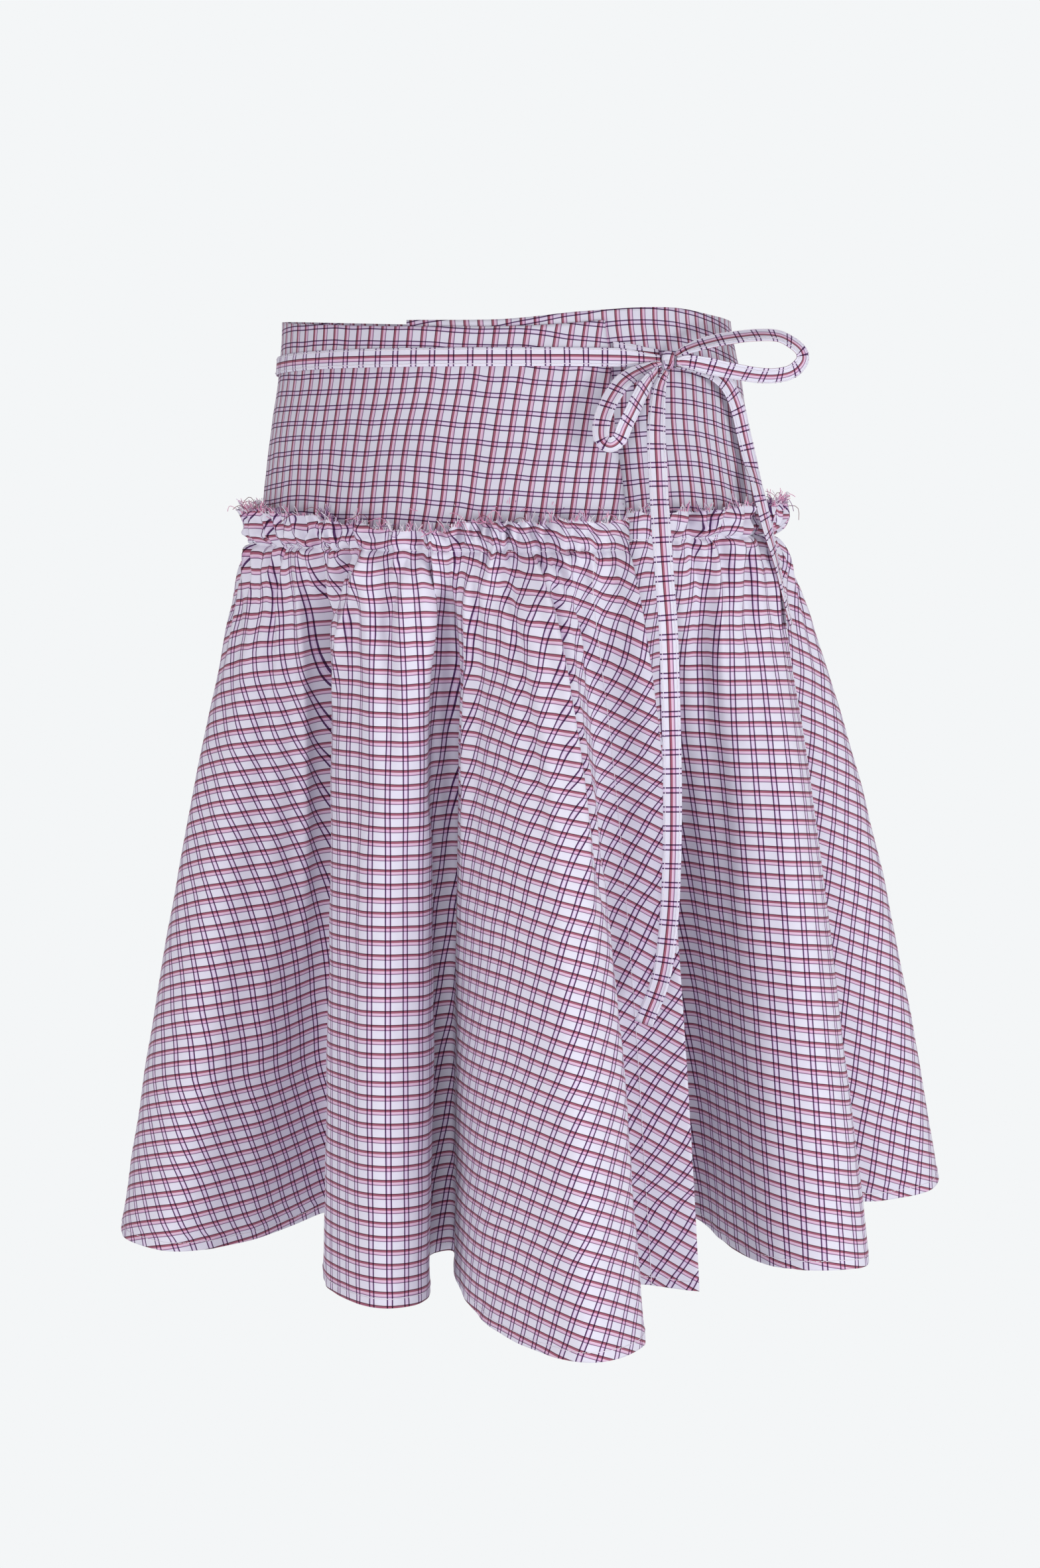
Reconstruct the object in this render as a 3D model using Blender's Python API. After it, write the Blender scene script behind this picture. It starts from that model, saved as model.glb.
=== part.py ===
"""A wrap midi skirt in checked cotton, in the hollow shape it has when worn, with its narrow ties in a bow.

Metres, +Z up, front towards -Y, the wearer's left towards +X. The origin is the middle of the waist.

The cloth goes round the body as one spiral. It starts at the hidden edge of the under front, passes the
right side of the picture, the back and the left side, and ends at the wrap edge of the over front, which lies
on the under front. A spiral angle in degrees names a place on it: 0 is the front, 90 the +X side, 180 the back,
and 360 more is the same direction one layer further out.
"""

import bisect
import functools
import math
import operator
from collections import namedtuple

import bmesh
import bpy
from mathutils import Vector

# Cloth
WALL = 0.0012
SEAM_GAP = 0.0003
COTTON = (0.80, 0.76, 0.83, 1.0)
COTTON_ROUGHNESS = 0.85

# Where the pieces start and end on the spiral, in degrees
UNDER_EDGE = -25.3
RIGHT_SEAM = 100.0
LEFT_SEAM = 260.0
WRAP_EDGE = 384.8

# The two spiral angles between which each of these grows from nothing to all
OVER_STANDS_OUT = (312.0, 334.0)
UNDER_COMES_BACK = (28.0, 48.0)
UNDER_IS_FREE = (28.5, 34.5)
SEAM_DROPS = (75.0, 105.0)
TIE_LIFTS = (378.0, 386.0)

# Yoke
YOKE_ROWS = 6
YOKE_STEP = 5.0
OVER_SEAM_Z = -0.1425
UNDER_SEAM_Z = -0.1360

# The two layers stand this far from the middle of the overlap, at the waist and at the gathers
TOP_LAP = 0.0010
LOW_LAP = 0.0031
LAP_GROWS_FROM = -0.070
LAP_GROWN_AT = -0.102

# Tier
TIER_LENGTH = 0.473
COLUMNS_PER_WAVE = 4
MOST_WAVE = 0.0095
HIDDEN_WAVE = 0.0020
OPENING_EASE = 0.06
TIER_TRIM = 0.0002
TROUGH_SHARE = 0.40
PITCH_CHANGE = 0.0060
PITCH_CHANGES = 5.0
PLACE_STEP = 0.0005
CLOTH_STEP = 0.001

# Ties, sewn as flat tubes
TIE_WIDTH = 0.0117
TIE_THICKNESS = 0.0014
TIE_GAP = 0.0006
TIE_LIFT = 0.0005
PINCHED_OVER = 12.0
RIBBON_STEPS = 2

Ring = namedtuple("Ring", "z centre_x half_width half_front half_back")
YOKE_RINGS = (
    Ring(0.012, -0.0024, 0.1446, 0.0990, 0.0990),
    Ring(0.000, -0.0020, 0.1450, 0.1000, 0.1000),
    Ring(-0.037, 0.0002, 0.1500, 0.1055, 0.1065),
    Ring(-0.066, 0.0002, 0.1545, 0.1095, 0.1125),
    Ring(-0.092, 0.0012, 0.1592, 0.1135, 0.1180),
    Ring(-0.117, 0.0027, 0.1634, 0.1175, 0.1225),
    Ring(-0.155, 0.0032, 0.1665, 0.1205, 0.1260),
)

# The waist edge dips at the front, and the under front rises a little beside the bow
Edge = namedtuple("Edge", "spiral z")
WAIST_EDGE = (
    Edge(-25.3, -0.0015),
    Edge(0.0, -0.0010),
    Edge(20.0, 0.0040),
    Edge(46.0, 0.0068),
    Edge(66.0, 0.0022),
    Edge(88.0, -0.0005),
    Edge(100.0, 0.0000),
    Edge(180.0, 0.0000),
    Edge(260.0, 0.0000),
    Edge(300.0, -0.0030),
    Edge(340.0, -0.0055),
    Edge(370.0, -0.0045),
    Edge(384.8, -0.0015),
)

# One row for each ridge and trough of the tier: where its hem hangs in plan, how evenly it opens from the
# gathers down (1 is straight, less opens early), and any extra length
Fold = namedtuple("Fold", "spiral hem_x hem_y opens longer")
FOLDS = (
    Fold(-25.3, -0.035, 0.000, 0.80, 0.0),
    Fold(-12.0, 0.000, -0.032, 0.80, 0.0),
    Fold(2.0, 0.036, -0.070, 0.80, 0.0),
    Fold(14.0, 0.072, -0.045, 0.80, 0.0),
    Fold(27.0, 0.100, -0.004, 0.80, 0.0),
    Fold(37.0, 0.1255, 0.000, 0.80, 0.0),
    Fold(46.0, 0.149, -0.047, 0.70, 0.0),
    Fold(56.0, 0.176, -0.085, 0.65, 0.0),
    Fold(65.0, 0.212, -0.093, 0.65, 0.003),
    Fold(71.0, 0.233, -0.072, 0.65, 0.007),
    Fold(75.0, 0.235, -0.028, 0.70, 0.004),
    Fold(80.0, 0.226, 0.042, 0.78, 0.0),
    Fold(85.0, 0.262, 0.057, 0.64, 0.006),
    Fold(91.0, 0.298, 0.080, 0.56, 0.011),
    Fold(95.0, 0.303, 0.104, 0.52, 0.011),
    Fold(100.0, 0.283, 0.132, 0.60, 0.008),
    Fold(108.0, 0.225, 0.120, 0.90, 0.004),
    Fold(116.0, 0.192, 0.112, 0.90, 0.0),
    Fold(126.0, 0.186, 0.185, 0.60, 0.0),
    Fold(134.0, 0.150, 0.222, 0.50, 0.0),
    Fold(142.0, 0.108, 0.200, 0.60, 0.0),
    Fold(150.0, 0.088, 0.125, 0.90, 0.0),
    Fold(160.0, 0.068, 0.215, 0.55, 0.0),
    Fold(170.0, 0.030, 0.250, 0.45, 0.010),
    Fold(180.0, -0.008, 0.222, 0.55, 0.0),
    Fold(188.0, -0.024, 0.135, 0.90, 0.0),
    Fold(198.0, -0.046, 0.208, 0.60, 0.0),
    Fold(208.0, -0.085, 0.236, 0.50, 0.0),
    Fold(217.0, -0.120, 0.200, 0.60, 0.0),
    Fold(224.0, -0.130, 0.118, 0.90, 0.0),
    Fold(234.0, -0.165, 0.172, 0.65, 0.0),
    Fold(241.0, -0.200, 0.160, 0.70, 0.0),
    Fold(248.0, -0.205, 0.105, 0.85, 0.0),
    Fold(254.0, -0.212, 0.072, 0.90, 0.0),
    Fold(260.0, -0.243, 0.056, 0.72, 0.0),
    Fold(272.0, -0.2635, 0.002, 0.67, 0.0),
    Fold(280.0, -0.253, -0.036, 0.67, -0.002),
    Fold(288.0, -0.226, -0.057, 0.66, -0.005),
    Fold(300.0, -0.1775, -0.029, 0.85, -0.006),
    Fold(312.0, -0.120, 0.028, 0.90, 0.0),
    Fold(321.0, -0.117, -0.100, 0.80, 0.0),
    Fold(331.0, -0.080, -0.150, 0.60, 0.0),
    Fold(340.5, -0.052, -0.128, 0.45, 0.0),
    Fold(344.5, -0.0500, -0.046, 0.80, 0.0),
    Fold(346.5, -0.0400, -0.042, 0.80, 0.0),
    Fold(350.0, -0.0345, -0.092, 0.60, 0.0),
    Fold(355.0, -0.006, -0.170, 0.45, 0.010),
    Fold(359.5, 0.050, -0.222, 0.32, 0.021),
    Fold(364.0, 0.079, -0.195, 0.30, 0.019),
    Fold(373.0, 0.072, -0.106, 0.45, 0.0),
    Fold(384.8, 0.122, -0.108, 0.42, 0.003),
)

# The gathers stop short of the wrap edge, where this many waves of them are flat
Panel = namedtuple("Panel", "name start end waves flat uneven")
TIER_PANELS = (
    Panel("tier_under_front", UNDER_EDGE, RIGHT_SEAM, 20, 0.0, 0.4),
    Panel("tier_back", RIGHT_SEAM, LEFT_SEAM, 26, 0.0, 1.7),
    Panel("tier_over_front", LEFT_SEAM, WRAP_EDGE, 25, 1.6, 2.9),
)
YOKE_PANELS = (
    ("yoke_under_front", UNDER_EDGE, RIGHT_SEAM),
    ("yoke_back", RIGHT_SEAM, LEFT_SEAM),
    ("yoke_over_front", LEFT_SEAM, WRAP_EDGE),
)

# How the gathers stand along the cloth, from the frayed top edge down to the hem: their height as a share of
# their pitch, how much of every second one has closed up, how far the cloth leans out, and the share of their
# height that goes inward
Gather = namedtuple("Gather", "cloth height closed lean inward")
GATHERS = (
    Gather(-0.024, 0.54, 0.00, 0.0032, 0.0),
    Gather(-0.012, 0.46, 0.00, 0.0014, 0.0),
    Gather(0.000, 0.28, 0.00, 0.0, 0.0),
    Gather(0.012, 0.44, 0.00, 0.0, 0.20),
    Gather(0.030, 0.52, 0.05, 0.0, 0.35),
    Gather(0.065, 0.48, 0.40, 0.0, 0.40),
    Gather(0.130, 0.34, 0.85, 0.0, 0.45),
    Gather(0.230, 0.16, 1.00, 0.0, 0.50),
    Gather(0.350, 0.06, 1.00, 0.0, 0.50),
    Gather(TIER_LENGTH, 0.0, 1.00, 0.0, 0.50),
)


def ease(value):
    """0 below 0, 1 above 1, and smooth between."""
    value = min(max(value, 0.0), 1.0)
    return value * value * (3.0 - 2.0 * value)


def grown(spiral, span):
    """0 before a span of spiral angles, 1 after it, and smooth between."""
    return ease((spiral - span[0]) / (span[1] - span[0]))


@functools.cache
def smooth_curve(table, key, column):
    """The knots, values and slopes of a smooth curve through one column of a table."""
    rows = sorted(table, key=operator.attrgetter(key))
    knots = [getattr(row, key) for row in rows]
    values = [getattr(row, column) for row in rows]
    gaps = [after - here for here, after in zip(knots, knots[1:])]
    rises = [(after - here) / gap for here, after, gap in zip(values, values[1:], gaps)]
    inner = [
        (rises[index] * gaps[index + 1] + rises[index + 1] * gaps[index]) / (gaps[index] + gaps[index + 1])
        for index in range(len(gaps) - 1)
    ]
    return knots, values, [rises[0]] + inner + [rises[-1]]


def table_value(table, key, at, column):
    """A column of a table where its key column has this value, read smoothly between and past the rows."""
    knots, values, slopes = smooth_curve(table, key, column)
    if at <= knots[0]:
        return values[0] + slopes[0] * (at - knots[0])
    if at >= knots[-1]:
        return values[-1] + slopes[-1] * (at - knots[-1])
    span = bisect.bisect_right(knots, at) - 1
    gap = knots[span + 1] - knots[span]
    t = (at - knots[span]) / gap
    return (
        values[span] * (2.0 * t**3 - 3.0 * t**2 + 1.0)
        + slopes[span] * gap * (t**3 - 2.0 * t**2 + t)
        + values[span + 1] * (3.0 * t**2 - 2.0 * t**3)
        + slopes[span + 1] * gap * (t**3 - t**2)
    )


def ring_point(spiral, z, out):
    """A point on the ring round the hips at this height, moved straight out by a distance."""
    turn = math.radians(spiral)
    centre_x = table_value(YOKE_RINGS, "z", z, "centre_x")
    half_width = table_value(YOKE_RINGS, "z", z, "half_width")
    side = "half_front" if math.cos(turn) > 0.0 else "half_back"
    half_depth = table_value(YOKE_RINGS, "z", z, side)
    outward = Vector((math.sin(turn) / half_width, -math.cos(turn) / half_depth, 0.0)).normalized()
    on_ring = Vector((centre_x + half_width * math.sin(turn), -half_depth * math.cos(turn), z))
    return on_ring + outward * out


def lap(spiral, z):
    """How far a layer stands out of the ring where the fronts overlap: out for the over front, in for the under."""
    lower = ease((LAP_GROWS_FROM - z) / (LAP_GROWS_FROM - LAP_GROWN_AT))
    distance = TOP_LAP + (LOW_LAP - TOP_LAP) * lower
    return distance * (grown(spiral, OVER_STANDS_OUT) - 1.0 + grown(spiral, UNDER_COMES_BACK))


def seam_z(spiral):
    """The height of the gather seam, a little higher on the under front."""
    return UNDER_SEAM_Z + (OVER_SEAM_Z - UNDER_SEAM_Z) * grown(spiral, SEAM_DROPS)


def cotton(name):
    """The material of one piece."""
    material = bpy.data.materials.new(name + "_cotton")
    material.use_nodes = True
    shader = material.node_tree.nodes["Principled BSDF"]
    shader.inputs["Base Color"].default_value = COTTON
    shader.inputs["Roughness"].default_value = COTTON_ROUGHNESS
    shader.inputs["Metallic"].default_value = 0.0
    return material


def add_piece(name, shape):
    """Makes the object of one piece from its bmesh."""
    bmesh.ops.recalc_face_normals(shape, faces=shape.faces)
    mesh = bpy.data.meshes.new(name)
    shape.to_mesh(mesh)
    shape.free()
    mesh.materials.append(cotton(name))
    mesh.shade_smooth()
    mesh.set_sharp_from_angle(angle=math.radians(60.0))
    piece = bpy.data.objects.new(name, mesh)
    bpy.context.scene.collection.objects.link(piece)
    return piece


def wall_of(name, surface, columns, rows):
    """A cloth wall with half its thickness on each side of surface(column, row), closed along its edges."""
    shape = bmesh.new()
    outer = {}
    inner = {}
    for column in columns:
        for row in rows:
            middle, outward = surface(column, row)
            outer[column, row] = shape.verts.new(middle + outward * (WALL / 2.0))
            inner[column, row] = shape.verts.new(middle - outward * (WALL / 2.0))
    for left, right in zip(columns, columns[1:]):
        for above, below in zip(rows, rows[1:]):
            first_half = ((left, above), (left, below), (right, below))
            second_half = ((left, above), (right, below), (right, above))
            for corners in (first_half, second_half):
                shape.faces.new([outer[corner] for corner in corners])
                shape.faces.new([inner[corner] for corner in reversed(corners)])
    around = [(column, rows[0]) for column in columns]
    around += [(columns[-1], row) for row in rows[1:]]
    around += [(column, rows[-1]) for column in reversed(columns[:-1])]
    around += [(columns[0], row) for row in reversed(rows[1:-1])]
    for here, there in zip(around, around[1:] + around[:1]):
        shape.faces.new([outer[here], outer[there], inner[there], inner[here]])
    return add_piece(name, shape)


def unit_normal(point, column, row, column_step, row_step):
    """The outward unit normal of a surface given as point(column, row), rows running down."""
    along = point(column + column_step, row) - point(column - column_step, row)
    down = point(column, row + row_step) - point(column, row - row_step)
    return down.cross(along).normalized()


def yoke_point(spiral, z):
    """A point in the middle of the yoke's cloth."""
    return ring_point(spiral, z, lap(spiral, z))


def make_yoke(name, start, end):
    """One panel of the fitted hip yoke, from the waist edge to the gather seam."""
    half_gap = math.degrees(SEAM_GAP / 2.0 / 0.12)
    count = round((end - start) / YOKE_STEP)
    first = start + half_gap
    last = end - half_gap
    columns = [first + (last - first) * index / count for index in range(count + 1)]
    rows = [index / YOKE_ROWS for index in range(YOKE_ROWS + 1)]

    def point(spiral, share):
        top = table_value(WAIST_EDGE, "spiral", spiral, "z")
        return yoke_point(spiral, top + (seam_z(spiral) - top) * share)

    def surface(spiral, share):
        return point(spiral, share), unit_normal(point, spiral, share, 0.5, 0.02)

    return wall_of(name, surface, columns, rows)


def seam_line(spiral):
    """The middle of the tier's cloth at the gather seam, lying on the yoke."""
    z = seam_z(spiral)
    return ring_point(spiral, z, lap(spiral, z) + WALL + SEAM_GAP)


PlacedFold = namedtuple("PlacedFold", ("place",) + Fold._fields)


def placed_folds():
    """The folds with their places from 0 to 1, counted half by angle and half by length of hem."""
    turn = FOLDS[-1].spiral - FOLDS[0].spiral
    lengths = [0.0]
    for fold, after in zip(FOLDS, FOLDS[1:]):
        lengths.append(lengths[-1] + math.hypot(after.hem_x - fold.hem_x, after.hem_y - fold.hem_y))
    return tuple(
        PlacedFold(0.5 * (fold.spiral - FOLDS[0].spiral) / turn + 0.5 * length / lengths[-1], *fold)
        for fold, length in zip(FOLDS, lengths)
    )


PLACED_FOLDS = placed_folds()


def fold_value(place, column):
    """A column of the fold table, read smoothly at a place along the tier."""
    return table_value(PLACED_FOLDS, "place", place, column)


def place_at(spiral):
    """The place along the tier of the fold row with this spiral angle."""
    return next(fold.place for fold in PLACED_FOLDS if fold.spiral == spiral)


def opened(share, opens):
    """How far a fold has opened at a share of the tier's length."""
    low = OPENING_EASE**opens
    return ((share + OPENING_EASE) ** opens - low) / ((1.0 + OPENING_EASE) ** opens - low)


def tier_base(place, cloth):
    """The tier's cloth without its gathers, at a length of cloth below the gather seam."""
    spiral = fold_value(place, "spiral")
    seam = seam_line(spiral)
    if cloth < 0.0:
        z = seam.z - cloth
        hidden = under_cover(spiral)
        lean = table_value(GATHERS, "cloth", cloth, "lean") * (1.0 - hidden)
        return ring_point(spiral, z, lap(spiral, z) + WALL + SEAM_GAP + lean)
    hem = Vector((fold_value(place, "hem_x"), fold_value(place, "hem_y"), 0.0))
    spread = Vector((hem.x - seam.x, hem.y - seam.y, 0.0))
    length = TIER_LENGTH + fold_value(place, "longer")
    drop = math.sqrt(length**2 - spread.length**2)
    share = cloth / TIER_LENGTH
    return seam + spread * opened(share, fold_value(place, "opens")) - Vector((0.0, 0.0, drop * share))


def under_cover(spiral):
    """1 where the under front lies flat beneath the over front, 0 where it is free."""
    return 1.0 - grown(spiral, UNDER_IS_FREE)


@functools.cache
def tier_frame(place, cloth):
    """A point of the tier's cloth without its gathers, and the level way that it faces there."""
    along = tier_base(place + PLACE_STEP, cloth) - tier_base(place - PLACE_STEP, cloth)
    return tier_base(place, cloth), Vector((along.y, -along.x, 0.0)).normalized()


def gather_height(before, place, after, cloth):
    """The height of a gather, from its pitch, and less in a trough, where its neighbours lean together."""
    seam_pitch = (tier_frame(after, 0.0)[0] - tier_frame(before, 0.0)[0]).length
    point_before, facing_before = tier_frame(before, cloth)
    point_after, facing_after = tier_frame(after, cloth)
    step = point_after - point_before
    height = min(seam_pitch, step.length) * table_value(GATHERS, "cloth", cloth, "height")
    height = min(height, MOST_WAVE)
    leaning = -(facing_after - facing_before).dot(step) / step.length_squared
    if leaning > 0.0:
        height = min(height, TROUGH_SHARE / leaning)
    hidden = under_cover(fold_value(place, "spiral"))
    return height * (1.0 - hidden) + min(height, HIDDEN_WAVE) * hidden


def make_tier(panel):
    """One gathered panel of the tier, with its frayed heading above the gather seam."""
    count = panel.waves * COLUMNS_PER_WAVE
    half_wave = COLUMNS_PER_WAVE / 2.0
    first = place_at(panel.start) + TIER_TRIM
    last = place_at(panel.end) - TIER_TRIM

    def place_of(column):
        share = column / count
        pitch_change = PITCH_CHANGE * math.sin(2.0 * math.pi * PITCH_CHANGES * share + panel.uneven)
        share += pitch_change * ease(10.0 * share) * ease(10.0 * (1.0 - share))
        return first + (last - first) * share

    def point(column, cloth):
        place = place_of(column)
        base, facing = tier_frame(place, cloth)
        wave = column / COLUMNS_PER_WAVE
        fullness = 0.86 + 0.20 * math.sin(1.9 * wave + panel.uneven) + 0.10 * math.sin(4.3 * wave)
        height = gather_height(place_of(column - half_wave), place, place_of(column + half_wave), cloth)
        crest = 0.5 - 0.5 * math.cos(2.0 * math.pi * wave)
        merged = 0.5 - 0.5 * math.cos(math.pi * wave)
        closed = table_value(GATHERS, "cloth", cloth, "closed")
        inward = table_value(GATHERS, "cloth", cloth, "inward")
        ends = ease(wave) * ease(panel.waves - panel.flat - wave)
        standing = crest * (1.0 - closed) + merged * closed - inward
        return base + facing * (height * fullness * ends * standing)

    def surface(column, cloth):
        return point(column, cloth), unit_normal(point, column, cloth, 0.25, CLOTH_STEP)

    rows = [gather.cloth for gather in GATHERS]
    return wall_of(panel.name, surface, list(range(count + 1)), rows)


Bend = namedtuple("Bend", "x y z face width")


Station = namedtuple("Station", ("at",) + Bend._fields)


def strip(name, sections):
    """A flat tie as one closed solid. Each section is its middle, half its width and half its thickness."""
    shape = bmesh.new()
    loops = []
    for middle, half, thick in sections:
        corners = (middle + half + thick, middle - half + thick, middle - half - thick, middle + half - thick)
        loops.append([shape.verts.new(corner) for corner in corners])
    for here, there in zip(loops, loops[1:]):
        for side in range(4):
            following = (side + 1) % 4
            shape.faces.new([here[side], here[following], there[following], there[side]])
    shape.faces.new(loops[0])
    shape.faces.new(loops[-1])
    return add_piece(name, shape)


def ribbon(name, bends, facing):
    """A free length of tie through the bends. facing(turned, along) gives the way its face looks."""
    stations = tuple(Station(index, *bend) for index, bend in enumerate(bends))

    def centre(at):
        return Vector([table_value(stations, "at", at, column) for column in ("x", "y", "z")])

    sections = []
    for index in range((len(bends) - 1) * RIBBON_STEPS + 1):
        at = index / RIBBON_STEPS
        along = (centre(at + 0.05) - centre(at - 0.05)).normalized()
        face = facing(table_value(stations, "at", at, "face"), along)
        across = face.cross(along).normalized()
        half = across * (table_value(stations, "at", at, "width") / 2.0)
        sections.append((centre(at), half, along.cross(across) * (TIE_THICKNESS / 2.0)))
    return strip(name, sections)


FRONTWARD = Vector((0.0, -1.0, 0.0))


def face_of_loop(turned, along):
    """The outer side of a bow's loop, which lies in the picture's plane and opens to the front."""
    outward = Vector((-along.z, 0.0, along.x)).normalized()
    return outward * math.cos(math.radians(turned)) + FRONTWARD * math.sin(math.radians(turned))


def face_of_loop_backward(turned, along):
    """As face_of_loop, for a loop that runs the other way round."""
    outward = Vector((along.z, 0.0, -along.x)).normalized()
    return outward * math.cos(math.radians(turned)) + FRONTWARD * math.sin(math.radians(turned))


def face_of_tail(turned, along):
    """A hanging end looks to the front, turned by an angle to the +X side."""
    turn = math.radians(turned)
    return Vector((math.sin(turn), -math.cos(turn), 0.0))


# Two ties lie on the yoke: the height of their middle at each spiral angle
Lay = namedtuple("Lay", "spiral z")
ON_CLOTH = WALL / 2.0 + TIE_GAP + TIE_THICKNESS / 2.0
TIE_WAIST = (
    Lay(261.0, -0.0305),
    Lay(275.0, -0.0290),
    Lay(300.0, -0.0262),
    Lay(330.0, -0.0246),
    Lay(360.0, -0.0242),
    Lay(384.0, -0.0244),
    Lay(390.0, -0.0248),
    Lay(398.4, -0.0258),
)
TIE_SHORT = (
    Lay(26.0, -0.0205),
    Lay(31.0, -0.0212),
    Lay(39.0, -0.0228),
)


def lay_tie(name, lays, count, layer, end_width):
    """A tie that lies flat on the yoke, narrowing at its last end where the knot gathers it."""
    last_at = lays[-1].spiral
    first_at = lays[0].spiral

    def centre(spiral):
        z = table_value(lays, "spiral", spiral, "z")
        return ring_point(spiral, z, layer(spiral, z) + ON_CLOTH)

    sections = []
    for index in range(count + 1):
        spiral = first_at + (last_at - first_at) * index / count
        middle = centre(spiral)
        along = (centre(spiral + 0.5) - centre(spiral - 0.5)).normalized()
        up = ring_point(spiral, middle.z + 0.005, 0.0) - ring_point(spiral, middle.z - 0.005, 0.0)
        face = along.cross(up).normalized()
        pinch = ease(1.0 - (last_at - spiral) / PINCHED_OVER)
        width = TIE_WIDTH + (end_width - TIE_WIDTH) * pinch
        sections.append((middle, face.cross(along) * (width / 2.0), face * (TIE_THICKNESS / 2.0)))
    return strip(name, sections)


def waist_layer(spiral, z):
    """The waist tie lies on the over front, and past its wrap edge on the short tie, a little further out."""
    return lap(min(spiral, WRAP_EDGE), z) + TIE_LIFT * grown(spiral, TIE_LIFTS)


# Bow
KNOT_CENTRE = Vector((0.0985, -0.0850, -0.0262))
KNOT_SIZE = Vector((0.0085, 0.0095, 0.0115))
KNOT_BEVEL = 0.0025
LOOP_RIGHT = (
    Bend(0.1036, -0.0850, -0.0235, 50.0, 0.0050),
    Bend(0.1100, -0.0860, -0.0195, 42.0, 0.0085),
    Bend(0.1235, -0.0850, -0.0150, 40.0, TIE_WIDTH),
    Bend(0.1390, -0.0820, -0.0120, 40.0, TIE_WIDTH),
    Bend(0.1547, -0.0770, -0.0103, 40.0, TIE_WIDTH),
    Bend(0.1675, -0.0720, -0.0107, 40.0, TIE_WIDTH),
    Bend(0.1765, -0.0680, -0.0146, 42.0, TIE_WIDTH),
    Bend(0.1828, -0.0660, -0.0200, 45.0, TIE_WIDTH),
    Bend(0.1836, -0.0660, -0.0262, 48.0, TIE_WIDTH),
    Bend(0.1775, -0.0680, -0.0325, 52.0, TIE_WIDTH),
    Bend(0.1675, -0.0720, -0.0352, 54.0, TIE_WIDTH),
    Bend(0.1547, -0.0780, -0.0351, 54.0, TIE_WIDTH),
    Bend(0.1390, -0.0850, -0.0327, 56.0, TIE_WIDTH),
    Bend(0.1235, -0.0890, -0.0295, 60.0, TIE_WIDTH),
    Bend(0.1110, -0.0895, -0.0272, 60.0, 0.0095),
    Bend(0.1036, -0.0885, -0.0268, 60.0, 0.0050),
)
LOOP_LEFT = (
    Bend(0.0936, -0.0893, -0.0280, 70.0, 0.0040),
    Bend(0.0862, -0.0960, -0.0305, 66.0, 0.0080),
    Bend(0.0770, -0.1050, -0.0345, 65.0, 0.0110),
    Bend(0.0690, -0.1120, -0.0400, 65.0, TIE_WIDTH),
    Bend(0.0625, -0.1170, -0.0490, 65.0, TIE_WIDTH),
    Bend(0.0580, -0.1200, -0.0590, 65.0, TIE_WIDTH),
    Bend(0.0562, -0.1220, -0.0680, 63.0, TIE_WIDTH),
    Bend(0.0572, -0.1230, -0.0750, 60.0, 0.0110),
    Bend(0.0620, -0.1240, -0.0778, 58.0, 0.0105),
    Bend(0.0672, -0.1240, -0.0742, 56.0, 0.0110),
    Bend(0.0705, -0.1230, -0.0665, 54.0, TIE_WIDTH),
    Bend(0.0752, -0.1200, -0.0573, 54.0, TIE_WIDTH),
    Bend(0.0800, -0.1150, -0.0480, 56.0, TIE_WIDTH),
    Bend(0.0850, -0.1080, -0.0395, 60.0, 0.0095),
    Bend(0.0905, -0.0975, -0.0325, 64.0, 0.0050),
)
TAIL_FRONT = (
    Bend(0.0972, -0.0868, -0.0330, 10.0, 0.0050),
    Bend(0.0925, -0.0960, -0.0450, 10.0, 0.0090),
    Bend(0.0905, -0.1080, -0.0700, 8.0, TIE_WIDTH),
    Bend(0.0915, -0.1180, -0.1000, 6.0, TIE_WIDTH),
    Bend(0.0930, -0.1290, -0.1300, 4.0, TIE_WIDTH),
    Bend(0.0950, -0.1340, -0.1600, 4.0, TIE_WIDTH),
    Bend(0.0974, -0.1340, -0.1900, 4.0, TIE_WIDTH),
    Bend(0.0993, -0.1330, -0.2370, 2.0, TIE_WIDTH),
    Bend(0.1007, -0.1310, -0.2850, 0.0, TIE_WIDTH),
    Bend(0.1007, -0.1300, -0.3340, 0.0, TIE_WIDTH),
    Bend(0.0990, -0.1290, -0.3740, -2.0, TIE_WIDTH),
    Bend(0.0945, -0.1280, -0.4080, -4.0, TIE_WIDTH),
    Bend(0.0840, -0.1280, -0.4370, -6.0, TIE_WIDTH),
)
TAIL_SIDE = (
    Bend(0.1036, -0.0822, -0.0285, 40.0, 0.0045),
    Bend(0.1180, -0.0735, -0.0300, 42.0, 0.0090),
    Bend(0.1290, -0.0640, -0.0335, 44.0, TIE_WIDTH),
    Bend(0.1375, -0.0570, -0.0410, 40.0, TIE_WIDTH),
    Bend(0.1441, -0.0500, -0.0539, 37.0, TIE_WIDTH),
    Bend(0.1490, -0.0480, -0.0722, 36.0, TIE_WIDTH),
    Bend(0.1536, -0.0500, -0.0902, 38.0, TIE_WIDTH),
    Bend(0.1578, -0.0600, -0.1086, 47.0, TIE_WIDTH),
    Bend(0.1625, -0.0600, -0.1270, 55.0, TIE_WIDTH),
    Bend(0.1675, -0.0540, -0.1440, 68.0, TIE_WIDTH),
    Bend(0.1727, -0.0500, -0.1630, 78.0, TIE_WIDTH),
    Bend(0.1808, -0.0470, -0.1957, 82.0, TIE_WIDTH),
)


def make_knot():
    """The bow's knot, a small rounded block of cloth."""
    shape = bmesh.new()
    bmesh.ops.create_cube(shape, size=1.0)
    bmesh.ops.scale(shape, vec=KNOT_SIZE, verts=shape.verts)
    bmesh.ops.bevel(
        shape, geom=shape.edges[:], offset=KNOT_BEVEL, segments=2, profile=0.5, affect="EDGES", material=-1
    )
    bmesh.ops.translate(shape, vec=KNOT_CENTRE, verts=shape.verts)
    return add_piece("bow_knot", shape)


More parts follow.
